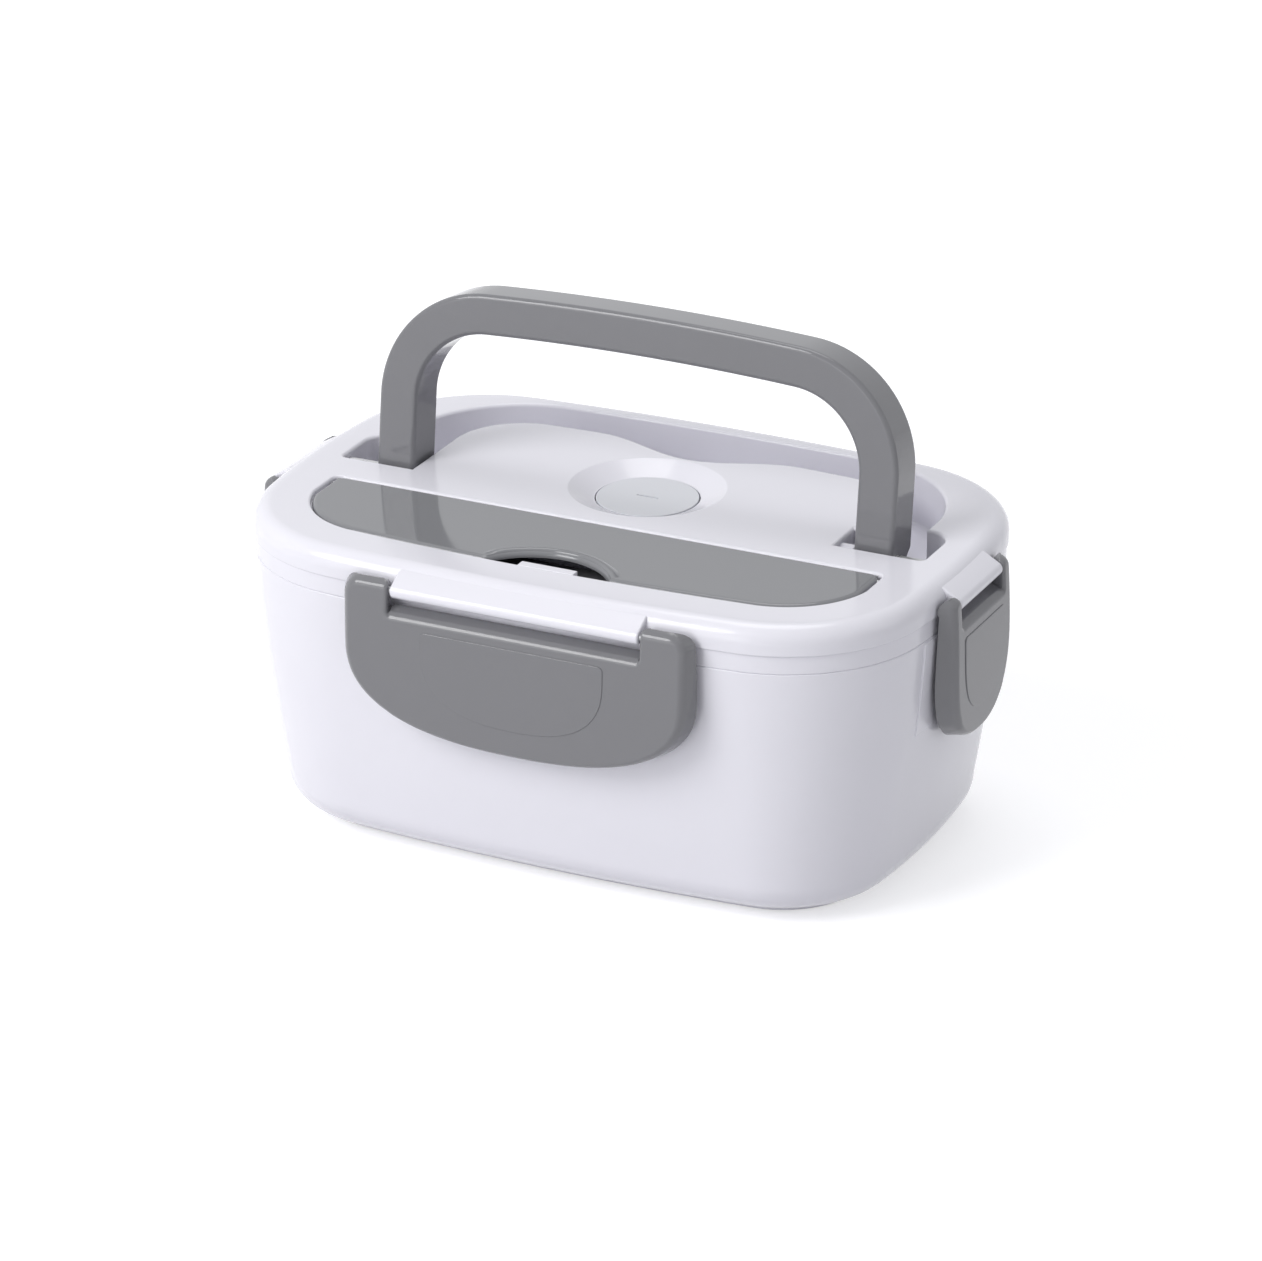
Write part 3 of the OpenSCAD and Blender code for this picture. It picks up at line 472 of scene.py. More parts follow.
def caseArcs(spec):
    longR = ((spec["length"] / 2) ** 2 + spec["longBulge"] ** 2) / (2 * spec["longBulge"])
    endR = ((spec["width"] / 2) ** 2 + spec["endBulge"] ** 2) / (2 * spec["endBulge"])
    longC = Vector((0, spec["width"] / 2 - longR))
    endC = Vector((spec["length"] / 2 - endR, 0))
    reach = longC - endC
    fromEnd, fromLong, gap = endR - spec["corner"], longR - spec["corner"], reach.length
    along = (fromEnd * fromEnd - fromLong * fromLong + gap * gap) / (2 * gap)
    aside = sqrt(fromEnd * fromEnd - along * along)
    unit = reach / gap
    cornerC = endC + along * unit + aside * Vector((-unit.y, unit.x))
    first, last = cornerC - endC, cornerC - longC
    return {"longR": longR, "endR": endR, "longC": longC, "endC": endC, "cornerC": cornerC,
            "first": degrees(atan2(first.y, first.x)),
            "last": degrees(atan2(last.y, last.x))}


arcs = caseArcs(caseSpec)


def caseRing(bm, inset, z):
    x, y = arcs["cornerC"]
    endX, longY = arcs["endC"].x, arcs["longC"].y
    bend, flat = arcs["last"] - arcs["first"], 2 * (90 - arcs["last"])
    parts, ends, sides = caseSpec["cornerParts"], caseSpec["endParts"], caseSpec["longParts"]
    steps = [((endX, 0), arcs["first"], ends), ((x, y), bend, parts), ((0, longY), flat, sides),
             ((-x, y), bend, parts), ((-endX, 0), 2 * arcs["first"], 2 * ends), ((-x, -y), bend, parts),
             ((0, -longY), flat, sides), ((x, -y), bend, parts), ((endX, 0), arcs["first"], ends)]
    return drawRing(bm, (endX + arcs["endR"] - inset, 0), steps, z)


# the arc centre that a point of the case outline belongs to
def ownCentre(point):
    quarter = Vector((abs(point.x), abs(point.y)))
    away = quarter - arcs["cornerC"]
    angle = degrees(atan2(away.y, away.x))
    centre = arcs["cornerC"]
    if angle < arcs["first"]:
        centre = arcs["endC"]
    elif angle > arcs["last"]:
        centre = arcs["longC"]
    return Vector((copysign(1, point.x) * centre.x, copysign(1, point.y) * centre.y))


# the edges that an extrusion has added at its far end
def farEdges(grown):
    fresh = set(vertsOf(grown))
    return [edge for edge in edgesOf(grown) if edge.verts[0] in fresh and edge.verts[1] in fresh]


# grows a wall level by level, through a list of inset and height
def caseLoft(bm, profile):
    first = ring = caseRing(bm, *profile[0])
    for (before, _), (inset, z) in zip(profile, profile[1:]):
        grown = bmesh.ops.extrude_edge_only(bm, edges=ring)["geom"]
        for vert in vertsOf(grown):
            flat = Vector((vert.co.x, vert.co.y))
            inward = (ownCentre(flat) - flat).normalized() * (inset - before)
            vert.co = (flat.x + inward.x, flat.y + inward.y, z)
        ring = farEdges(grown)
    return first, ring


def roundProfile(inset, z, radius, start, stop, parts=3):
    turns = [radians(start + (stop - start) * i / parts) for i in range(parts + 1)]
    return [(inset + radius * cos(t), z + radius * sin(t)) for t in turns]


# each latch's place: the wall's distance, the turn about Z and the way out
sideSpec = {"front": (78, 0, (0, -1)), "right": (115, 90, (1, 0)), "rear": (78, 180, (0, 1)),
            "left": (115, 270, (-1, 0)), "pivotOut": 2.4, "pivotUp": 97.2}


# stands on a latch's pivot, with X along the wall and Y inwards
def sidePlace(side):
    wall, turn, _ = sideSpec[side]
    pivot = (0, -wall - sideSpec["pivotOut"], sideSpec["pivotUp"])
    return Matrix.Rotation(radians(turn), 4, "Z") @ Matrix.Translation(pivot)


# a bar along X with a drawn section of y and z, rounded at its ends
def drawBar(half, section, ends):
    bm = bmesh.new()
    low = drawPlan(bm, section[0], section[1:], ends - half)
    top = raiseFace(bm, low, 2 * (half - ends))
    for face in (low, top):
        roundOver(bm, face, ends)
    moveAll(bm, Matrix(((0, 0, 1, 0), (1, 0, 0, 0), (0, 1, 0, 0), (0, 0, 0, 1))))
    return bm


# a block with rounded edges, from its low corner to its high corner
def drawBlock(low, high, edge):
    bm = bmesh.new()
    size, middle = Vector(high) - Vector(low), (Vector(high) + Vector(low)) / 2
    bmesh.ops.create_cube(bm, size=1, matrix=Matrix.Translation(middle) @ Matrix.Diagonal((*size, 1)))
    bevelEdges(bm, bm.edges[:], edge)
    return bm


# a turned rod along Z with rounded ends
def drawRod(radius, low, high, edge=0.3, segments=48):
    bm = bmesh.new()
    bottom = drawDisc(bm, radius, (0, 0, low + edge), segments)
    top = raiseFace(bm, bottom, high - low - 2 * edge)
    for end in (bottom, top):
        roundOver(bm, end, edge)
    return bm


# base shell: outer wall, rolled rim, inner wall with its ledge, opening underneath
shellSpec = {"seam": 89, "rim": 0.7, "taper": 8.4, "curve": 1.4, "low": 3.2, "bottomR": 12, "wall": 2.4,
             "edge": 0.45, "levels": 14, "bottomTurn": 9, "opening": 34.1, "ledge": 79.0, "ledgeInset": 7.6,
             "ledgeDrop": 2, "inlet": (15, 15.7, 28.7), "inletFrom": 60, "inletReach": (25, 12),
             "bossR": 4, "bossTop": 12.2, "screwInset": 28.1}
# behind each latch: half lengths of the pad and of the catch
catchSpec = {"halves": {"front": (41, 35), "rear": (41, 35), "right": (29, 11), "left": (29, 11)},
             "padLow": 57, "padHigh": 88.4, "padLevels": 6, "padRise": 0.45, "padSink": 1,
             "padRound": 0.36, "padSharp": 1, "padStub": 0.6, "sink": 2.1, "ends": 0.4,
             "section": [(2.3, -17), (0.8, -18.5), (0.8, -27), (3.0, -31.4)]}


def wallInset(z):
    spec = shellSpec
    fall = max(0, (spec["seam"] - z) / (spec["seam"] - spec["low"] - spec["bottomR"]))
    return spec["rim"] + spec["taper"] * fall ** spec["curve"]


def shellProfile(spec, wall, top):
    radius, bend = spec["bottomR"] - wall, spec["low"] + spec["bottomR"]
    inner = spec["rim"] + spec["taper"] + spec["bottomR"]
    turns = [radians(t) for t in range(90, -1, -spec["bottomTurn"])]
    low = [(inner - radius * cos(t), bend - radius * sin(t)) for t in turns]
    high = [bend + (top - bend) * k / spec["levels"] for k in range(1, spec["levels"] + 1)]
    return low + [(wallInset(z) + wall, z) for z in high]


# where the first of the four bottom screws stands
def screwPoint():
    reach = (caseSpec["corner"] - shellSpec["screwInset"]) / sqrt(2)
    return arcs["cornerC"].x + reach, arcs["cornerC"].y + reach


def makeBaseShell(spec):
    bm = bmesh.new()
    edge, seam, rim, wall = spec["edge"], spec["seam"], spec["rim"], spec["wall"]
    ledge, ledgeLow = spec["ledge"], spec["ledge"] - spec["ledgeDrop"]
    outer = shellProfile(spec, 0, seam - edge)
    profile = outer + roundProfile(rim + edge, seam - edge, edge, 180, 90)
    profile += roundProfile(rim + wall - edge, seam - edge, edge, 90, 0)
    profile += [(wallInset(ledge) + wall, ledge), (spec["ledgeInset"], ledge), (spec["ledgeInset"], ledgeLow)]
    profile += shellProfile(spec, wall, ledgeLow)[::-1]
    profile += [(spec["opening"], spec["low"] + wall), (spec["opening"], spec["low"]), outer[0]]
    caseLoft(bm, profile)
    cleanUp(bm)
    cutInlet(bm, spec)
    for side, (padHalf, catchHalf) in catchSpec["halves"].items():
        stamp(bm, drawPad(side, padHalf, catchSpec))
        stamp(bm, drawCatch(catchHalf, catchSpec), [sidePlace(side)])
    stamp(bm, drawRod(spec["bossR"], spec["low"], spec["bossTop"]), fourPlaces(*screwPoint()))
    finishPiece(bm, "baseShell", whitePlastic, "base_shell")


# a shallow pad that follows the wall behind a latch
def drawPad(side, half, spec):
    low, high, levels = spec["padLow"], spec["padHigh"], spec["padLevels"]
    heights = [low + (high - low) * k / levels for k in range(levels + 1)]
    foot, head = (wallInset(low) + spec["padSink"], low), (wallInset(high) + spec["padSink"], high)
    bm = bmesh.new()
    caseLoft(bm, [foot] + [(wallInset(z) - spec["padRise"], z) for z in heights] + [head, foot])
    bmesh.ops.remove_doubles(bm, verts=bm.verts, dist=mergeDist)
    out = Vector((*sideSpec[side][2], 0))
    along = Vector((abs(out.y), abs(out.x), 0))
    for reach, direction in ((half, along), (half, -along), (0, -out)):
        cutAndCap(bm, direction * reach, direction)
    ends = [e for e in bm.edges if len(e.link_faces) == 2 and e.calc_face_angle(0) > spec["padSharp"]
            and e.calc_length() > spec["padStub"]]
    bevelEdges(bm, ends, spec["padRound"])
    return bm


# the ledge that a latch's hook snaps under, sunk into the wall
def drawCatch(half, spec):
    section = spec["section"]
    back = [(sideSpec["pivotOut"] + wallInset(sideSpec["pivotUp"] + z) + spec["sink"], z)
            for z in (section[-1][1], section[0][1])]
    return drawBar(half, section + back, spec["ends"])


# the opening for the power inlet, through both skins of the rear wall
def cutInlet(bm, spec):
    half, low, high = spec["inlet"]

    def nearHole(face, aside, above):
        x, y, z = face.calc_center_median()
        return y > spec["inletFrom"] and abs(x) < half + aside and low - above < z < high + above

    for point, normal in (((half, 0, 0), (1, 0, 0)), ((-half, 0, 0), (1, 0, 0)), ((0, 0, low), (0, 0, 1)),
                          ((0, 0, high), (0, 0, 1))):
        near = [face for face in bm.faces if nearHole(face, *spec["inletReach"])]
        parts = {part for face in near for part in (face, *face.edges, *face.verts)}
        bmesh.ops.bisect_plane(bm, geom=list(parts), plane_co=point, plane_no=normal, dist=0.0001)
    gone = [face for face in bm.faces if nearHole(face, 0, 0)]
    bmesh.ops.delete(bm, geom=gone, context="FACES")
    bmesh.ops.bridge_loops(bm, edges=[e for e in bm.edges if e.is_boundary])


makeBaseShell(shellSpec)
print("base shell made")


# bottom cover with recessed screw holes, and the rubber feet
coverSpec = {"inset": 21.4, "low": 0.8, "top": 3.2, "edge": 0.5, "hole": 3.0, "holeDepth": 1.4}
feetSpec = {"place": (65, 36), "radius": 7, "top": 1.8, "edge": 0.6}


def makeBottomCover(spec):
    bm = bmesh.new()
    inset, low, edge = spec["inset"], spec["low"], spec["edge"]
    profile = [(inset, spec["top"])] + roundProfile(inset + edge, low + edge, edge, 180, 270)
    upper, lower = caseLoft(bm, profile)
    bmesh.ops.edgeloop_fill(bm, edges=upper)
    x, y = screwPoint()
    places = [(sx * x, sy * y, spec["hole"]) for sx in (1, -1) for sy in (1, -1)]
    drillUnder(bm, lower, places, low, spec["holeDepth"], 32)
    finishPiece(bm, "bottomCover", whitePlastic, "bottom_cover")


def makeFeet(spec):
    bm = bmesh.new()
    stamp(bm, drawRod(spec["radius"], 0, spec["top"], spec["edge"], 56), fourPlaces(*spec["place"]))
    finishPiece(bm, "rubberFeet", footRubber, "rubber_feet")


makeBottomCover(coverSpec)
makeFeet(feetSpec)
print("bottom made")


# lid base: the lower band, its step and the plug plate; holes are x, y and radius
bandSpec = {"rim": 0.7, "wall": 2, "seam": 89, "band": 95, "plug": 4.2, "low": 82, "edge": 0.4,
            "holeDepth": 1.0, "holes": ((50, 30, 3), (-50, 30, 3), (50, -11, 3), (-50, -11, 3), (0, 15, 6))}
sealSpec = {"outer": 7.6, "width": 4, "low": 80.4, "top": 82, "bead": 0.8, "groove": (1.7, 0.35)}


def makeLidBase(spec):
    bm = bmesh.new()
    rim, wall, seam, band, plug, low, edge = (
        spec[key] for key in ("rim", "wall", "seam", "band", "plug", "low", "edge"))
    profile = [(plug + wall, low + wall), (plug + wall, seam + wall), (rim + wall, seam + wall),
               (rim + wall, band)]
    profile += roundProfile(rim + edge, band - edge, edge, 90, 180)
    profile += roundProfile(rim + edge, seam + edge, edge, 180, 270)
    profile += [(plug, seam)] + roundProfile(plug + edge, low + edge, edge, 180, 270)
    upper, lower = caseLoft(bm, profile)
    bmesh.ops.edgeloop_fill(bm, edges=upper)
    drillUnder(bm, lower, spec["holes"], low, spec["holeDepth"], 40)
    finishPiece(bm, "lidBase", whitePlastic, "lid_base")


def makeSeal(spec):
    bm = bmesh.new()
    outer, inner, bead = spec["outer"], spec["outer"] + spec["width"], spec["bead"]
    top, level, (across, up) = spec["top"], spec["low"] + spec["bead"], spec["groove"]
    profile = [(outer, top), (outer, level)] + roundProfile(outer + bead, level, bead, 180, 270)
    profile += [(outer + across, spec["low"] + up)] + roundProfile(inner - bead, level, bead, 270, 360)
    caseLoft(bm, profile + [(inner, top), (outer, top)])
    finishPiece(bm, "lidSeal", siliconeSkin, "lid_seal")


makeLidBase(bandSpec)
makeSeal(sealSpec)
print("lid base made")


# lid top: rounded rim, channel for the folded handle, cutlery well, vent bowl and hinge bars
lidSpec = {"top": 104, "low": 95, "edge": 6, "foot": 0.4, "inside": [(6.4, 84.1), (6.4, 91.1), (2.9, 91.1)],
           "boss": (70.5, 76.3, 2, 100, 2.6), "tab": ((-9.5, -60.2, 101), (9.5, -56.7, 104), 0.3),
           "bar": [(1.09, -2.02), ((0, 0), -180, 14), (4.1, 5.0), (6.5, 5.2), (6.5, -2.1), (2.4, -2.1)],
           "bars": {"front": 42.1, "rear": 42.1, "right": 16.6, "left": 16.6}, "barEnds": 0.8}
# the channel: pocket is its inner and outer x and its front and rear y; pocketCorner is x, y and radius
channelSpec = {"lip": 1.2, "floor": 86.6, "floorR": 1.4, "bend": (51.9, 27.28), "bendTurn": 86.86,
               "archY": -918.9, "outer": 92.3, "inner": 75.8, "pocket": (71.5, 101, -3.2, 12),
               "pocketCorner": (93, 12.5, 8), "frontCorner": 1.8, "dipHalf": 36, "dip": 10, "dipRear": 60}
# the well: notch is the centre's y and the radius of the cover's finger notch
wellSpec = {"half": 94.7, "rear": -18.5, "inset": 18.3, "cornerR": 2.6, "notch": (-70.98, 24.28), "lip": 1.0,
            "floor": 88, "floorR": 0.9, "ledge": 99.6, "seat": 102, "seatWidth": 1.5, "seatGap": 0.3,
            "seatEnd": -24}
ventSpec = {"place": (-1.2, 15), "radius": 25.6, "low": 100.4, "lip": 1.6, "slope": 24, "floor": 98,
            "hole": 5.6, "holeDepth": 6}


# only the right leg's pocket reaches inwards of the leg
def channelSteps(spec, grow):
    inX, outX, frontY, backY = spec["pocket"]
    inX, outX, frontY, backY = inX - grow, outX + grow, frontY - grow, backY + grow
    cx, cy, radius = spec["pocketCorner"]
    bend, bendLeft, arch = spec["bend"], (-spec["bend"][0], spec["bend"][1]), (0, spec["archY"])
    wide, narrow, turn = spec["outer"] + grow, spec["inner"] - grow, spec["bendTurn"]
    meet = degrees(acos((wide - cx) / (radius + grow)))
    meetY = cy + (radius + grow) * sin(radians(meet))
    soft = spec["frontCorner"] + grow
    archTurn = 2 * (90 - turn)
    outside = [(outX - soft, frontY), ((outX - soft, frontY + soft), 90, 6), (outX, cy), ((cx, cy), meet, 8),
               (wide, bend[1]), (bend, turn, 16), (arch, archTurn, 40), (bendLeft, turn, 16), (-wide, meetY),
               ((-cx, cy), meet, 8), (-outX, frontY + soft), ((soft - outX, frontY + soft), 90, 6)]
    inside = [(-narrow, frontY), (-narrow, bend[1]), (bendLeft, -turn, 16), (arch, -archTurn, 60),
              (bend, -turn, 16), (narrow, backY), (inX, backY)]
    return (inX, frontY), outside + inside


def wellSteps(spec, grow, notch=False):
    half, rear, soft = spec["half"] + grow, spec["rear"] + grow, spec["cornerR"] + grow
    corner, longC = arcs["cornerC"], (0, -arcs["longC"].y)
    radius = caseSpec["corner"] - spec["inset"] + grow
    longR = arcs["longR"] - spec["inset"] + grow
    lean = degrees(acos((half - corner.x) / radius))
    sweep, flat = arcs["last"] - lean, 90 - arcs["last"]
    start = -corner.y - radius * sin(radians(lean))
    front = [(longC, 2 * flat, 40)]
    if notch:
        cutY, cutR = spec["notch"]
        low = longC[1] - cutY
        along = (longR ** 2 - cutR ** 2 + low ** 2) / (2 * low)
        across = sqrt(longR ** 2 - along ** 2)
        beside = (longC, flat - degrees(asin(across / longR)), 16)
        front = [beside, ((0, cutY), -2 * degrees(acos((low - along) / cutR)), 36), beside]
    steps = [(-half, start), ((-corner.x, -corner.y), sweep, 20)] + front
    steps += [((corner.x, -corner.y), sweep, 20), (half, rear - soft), ((half - soft, rear - soft), 90, 6),
              (soft - half, rear), ((soft - half, rear - soft), 90, 6)]
    return (-half, rear - soft), steps


def drawChannel(bm, spec, top):
    face = drawPlan(bm, *channelSteps(spec, spec["lip"]), z=top)
    for vert in face.verts:      # the middle's rear edge waves in round the fingers
        if abs(vert.co.x) < spec["dipHalf"] and vert.co.y < spec["dipRear"]:
            vert.co.y -= spec["dip"] * (1 + cos(pi * vert.co.x / spec["dipHalf"])) / 2
    return face


def sinkChannel(bm, face, spec, top):
    roundInto(bm, face, spec["lip"])
    sinkFace(bm, face, top - spec["lip"] - spec["floor"] - spec["floorR"])
    roundFloor(bm, face, spec["floorR"])


def sinkWell(bm, face, spec, top):
    roundInto(bm, face, spec["lip"])
    sinkFace(bm, face, top - spec["lip"] - spec["ledge"])
    insetSteps(bm, face, [(spec["seatWidth"], 0)])
    sinkFace(bm, face, spec["ledge"] - spec["floor"] - spec["floorR"])
    roundFloor(bm, face, spec["floorR"])


# a soft lip, a cone, a soft foot, a pocket for the disc and the hole for the stem
def sinkVent(bm, face, spec, top):
    slope, lip = radians(spec["slope"]), spec["lip"]
    roundInto(bm, face, lip, 5, spec["slope"])
    fall = top - spec["low"] - 2 * lip * (1 - cos(slope))
    insetSteps(bm, face, [(fall / tan(slope), -fall)])
    insetSteps(bm, face, arcSteps(lip, 5, True, -1, spec["slope"])[::-1])
    sinkFace(bm, face, spec["low"] - spec["floor"])
    reach = max((vert.co - face.calc_center_median()).length for vert in face.verts)
    insetSteps(bm, face, [(reach - spec["hole"], 0)])
    sinkFace(bm, face, spec["holeDepth"])


# the raised seat round the front of the well that the cover rests on
def drawSeat(spec):
    bm = bmesh.new()
    face = drawPlan(bm, *wellSteps(spec, spec["seatGap"]), z=spec["ledge"])
    insetFaces(bm, [face], spec["seatWidth"] + spec["seatGap"])
    bmesh.ops.delete(bm, geom=[face], context="FACES_ONLY")
    grown = bmesh.ops.extrude_face_region(bm, geom=bm.faces[:])["geom"]
    bmesh.ops.translate(bm, verts=vertsOf(grown), vec=(0, 0, spec["seat"] - spec["ledge"]))
    cutAndCap(bm, (0, spec["seatEnd"], 0), (0, 1, 0))
    return bm


def makeLid(spec):
    bm = bmesh.new()
    top, low, edge, foot = spec["top"], spec["low"], spec["edge"], spec["foot"]
    profile = spec["inside"] + [(spec["inside"][-1][0], low)] + roundProfile(foot, low + foot, foot, 270, 180)
    profile += roundProfile(edge, top - edge, edge, 180, 90, 10)
    bottom, rim = caseLoft(bm, profile)
    bmesh.ops.edgeloop_fill(bm, edges=bottom)
    channel = drawChannel(bm, channelSpec, top)
    well = drawPlan(bm, *wellSteps(wellSpec, wellSpec["lip"]), z=top)
    vent = drawDisc(bm, ventSpec["radius"], (*ventSpec["place"], top), 96)
    for face in (channel, well, vent):
        faceUp(bm, face)
    fillAround(bm, rim, [channel, well, vent])
    sinkChannel(bm, channel, channelSpec, top)
    sinkWell(bm, well, wellSpec, top)
    sinkVent(bm, vent, ventSpec, top)
    stamp(bm, drawSeat(wellSpec))
    stamp(bm, drawBlock(*spec["tab"]))
    start, stop, y, z, radius = spec["boss"]
    stamp(bm, drawRod(radius, start, stop), [placed((0, y, z), turn, "Y")
                                             for turn in (pi / 2, -pi / 2)])
    for side, half in spec["bars"].items():
        stamp(bm, drawBar(half, spec["bar"], spec["barEnds"]), [sidePlace(side)])
    finishPiece(bm, "lidTop", whitePlastic, "lid_top")


makeLid(lidSpec)
print("lid made")


# cutlery cover: a plate with a rounded edge, its finger notch, the notch's raised lip and the hinge barrel;
# lip is the section's radii and height, barrel is y, z, radius and half length
flapSpec = {"gap": -0.4, "endGap": 0.6, "cornerR": 3.0, "low": 102.01, "top": 104, "edge": 1.6,
            "lip": (25.0, 28.3, 0.75), "lipCurve": ((0.1, 0), (0.6, 0.75), (1.5, 1), (2.3, 0.7)),
            "lipEdge": 0.05, "lipTurn": 116, "lipFade": 14, "lipSink": 0.6, "lipSpare": 0.1,
            "barrel": (-20.9, 102, 2, 93.2)}


def makeCutleryCover(spec):
    bm = bmesh.new()
    well = dict(wellSpec, half=wellSpec["half"] - spec["endGap"], cornerR=spec["cornerR"])
    face = drawPlan(bm, *wellSteps(well, spec["gap"], notch=True), z=spec["low"])
    top = raiseFace(bm, face, spec["top"] - spec["edge"] - spec["low"])
    roundOver(bm, top, spec["edge"], 5)
    stamp(bm, drawNotchLip(spec))
    y, z, radius, half = spec["barrel"]
    stamp(bm, drawRod(radius, -half, half), [placed((0, y, z), pi / 2, "Y")])
    finishPiece(bm, "cutleryCover", coverLitGreyPlastic, "cutlery_cover")


def drawNotchLip(spec):
    bm = bmesh.new()
    near, far, height = spec["lip"]
    cutY, top, half = wellSpec["notch"][0], spec["top"], spec["lipTurn"] / 2
    curve = [(near + across, top + height * share) for across, share in spec["lipCurve"]]
    low, spare = top - spec["lipSink"], spec["lipSpare"]
    drawPlan(bm, (near, low), curve + [(far, top - spec["lipEdge"]), (far, low)])
    moveAll(bm, Matrix.Rotation(pi / 2, 4, "X"))
    moveAll(bm, placed((0, cutY, 0), radians(90 - half)))
    bmesh.ops.spin(bm, geom=everything(bm), cent=(0, cutY, 0), axis=(0, 0, 1),
                   angle=radians(spec["lipTurn"]), steps=40)
    for vert in bm.verts:      # the lip runs out flat at both ends
        turn = abs(degrees(atan2(vert.co.x, vert.co.y - cutY)))
        fade = min(1.0, max(0.0, (half - turn) / spec["lipFade"]))
        rise = max(0.0, vert.co.z - top + spare) * sin(fade * pi / 2)
        vert.co.z = min(vert.co.z, top - spare) + rise
    return bm


makeCutleryCover(flapSpec)
print("cutlery cover made")


# latches: drawn from the front, cut across at many heights, then bent to the profile
latchSpec = {"drop": 47.6, "earR": 2.6, "wide": -18.2, "power": 2.45, "bulge": 0.9, "depth": 4.6, "edge": 1.8,
             "ridge": -7, "ridgeR": 1, "ridgeRise": 1.8, "innerR": 1.9, "back": (2, 3.9), "draft": 2.3,
             "draftFrom": 0.4, "wall": 1.8, "floor": 0.2, "hollow": -9,
             "earCuts": (0.93, 0.8, 0.62, 0.4, 0.2, 0), "neckCuts": (-0.8, -1.6, -2.6, -5),
             "plateCuts": (15, 2.5), "near": 0.3, "partDraft": 0.5,
             "hook": [(-2.4, -33.5), (0.3, -33.5), (2.3, -31.9), (2.3, -30.5), (0.3, -26.5), (-2.4, -26.5)],
             "hookEnds": 0.4}
reliefSpec = {"rise": 0.3, "top": -10.8, "low": -38, "wide": -16, "power": 2.5, "cornerR": 1.6, "edge": 0.25,
              "sink": 0.6, "cuts": (20, 1.3)}
longLatch = {"half": 58.2, "ear": 15.3, "hookHalf": 35, "reliefHalf": 31, "cornerR": 6.0}
sideLatch = {"half": 22.6, "ear": 5.8, "hookHalf": 11, "reliefHalf": 15.5, "cornerR": 3.5}
latchKinds = {"front": dict(longLatch, earTop=3.4), "rear": dict(longLatch, earTop=2.4),
              "right": dict(sideLatch, earTop=3.2), "left": dict(sideLatch, earTop=2.6)}


def earDepth(z, top):
    return latchSpec["earR"] * sqrt(max(0.0, 1 - (z / top) ** 2))


def latchFront(spec, z, earTop):
    if z > 0:
        return -earDepth(z, earTop)
    return -spec["earR"] - spec["bulge"] * (1 - (2 * z / spec["drop"] + 1) ** 2)


def latchBack(spec, z, earTop):
    if z > 0:
        return earDepth(z, earTop)
    top, low = spec["back"]
    return max(earDepth(z, spec["earR"]), top - (low - top) * z / spec["drop"])


# pulls a half circle out into the squarer curve of the latch's lower edge
def squareOff(verts, half, wide, low, power):
    for vert in verts:
        if vert.co.y < wide - 0.001:
            across, down = abs(vert.co.x) / half, (wide - vert.co.y) / half
            vert.co.x = copysign(half * min(1.0, across) ** (2 / power), vert.co.x)
            vert.co.y = wide - (wide - low) * min(1.0, down) ** (2 / power)


def sliceAcross(bm, heights):
    for height in heights:
        bmesh.ops.bisect_plane(bm, geom=everything(bm), plane_co=(0, height, 0), plane_no=(0, 1, 0),
                               dist=0.001)


def drawLatch(kind, spec):
    bm = bmesh.new()
    half, inner, top, big = kind["half"], kind["half"] - kind["ear"], kind["earTop"], kind["cornerR"]
    wide, ridge, small, ridgeR = spec["wide"], spec["ridge"], spec["innerR"], spec["ridgeR"]
    steps = [(half, top - big), ((half - big, top - big), 90, 7), (inner + small, top),
             ((inner + small, top - small), 90, 4), (inner, ridge + ridgeR),
             ((inner - ridgeR, ridge + ridgeR), -90, 4), (ridgeR - inner, ridge),
             ((ridgeR - inner, ridge + ridgeR), -90, 4), (-inner, top - small),
             ((-inner - small, top - small), 90, 4), (big - half, top), ((big - half, top - big), 90, 7),
             (-half, wide), ((0, wide), 180, 64)]
    back = drawPlan(bm, (half, wide), steps, z=spec["depth"])
    squareOff(bm.verts, half, wide, -spec["drop"], spec["power"])
    front = raiseFace(bm, back, spec["edge"] - spec["depth"])
    roundOver(bm, front, spec["edge"], 5)
    cuts, gap = spec["plateCuts"]
    sliceAcross(bm, [top * share for share in spec["earCuts"]] + list(spec["neckCuts"])
                + [spec["hollow"] - gap * i for i in range(cuts)])
    return bm


def hollowBack(bm, spec):
    back = [face for face in bm.faces if min(vert.co.z for vert in face.verts) > spec["depth"] - 0.01
            and face.calc_center_median().y < spec["hollow"]]
    insetFaces(bm, back, spec["wall"])
    insetFaces(bm, back, hairline, spec["wall"] + spec["floor"] - spec["depth"])


# from flat to standing: front and back take their curves, and the sides their draft
def bendLatch(bm, kind, spec):
    inner, wide, near = kind["half"] - kind["ear"], spec["wide"], spec["near"]
    for vert in bm.verts:
        x, z, depth = vert.co
        share = depth / spec["depth"]
        below = max(0.0, (wide - z) / (wide + spec["drop"]))
        if abs(x) < inner - near and z > spec["ridge"] - near:
            z += spec["ridgeRise"] * share
        face = latchFront(spec, z, kind["earTop"])
        y = face + share * (latchBack(spec, z, kind["earTop"]) - face)
        draft = spec["draft"] * (share - spec["draftFrom"])
        across = draft / kind["half"] * (1 if abs(x) > inner else spec["partDraft"])
        down = spec["partDraft"] * max(0.0, draft) * below
        vert.co = (x * (1 + across), y, z - down)


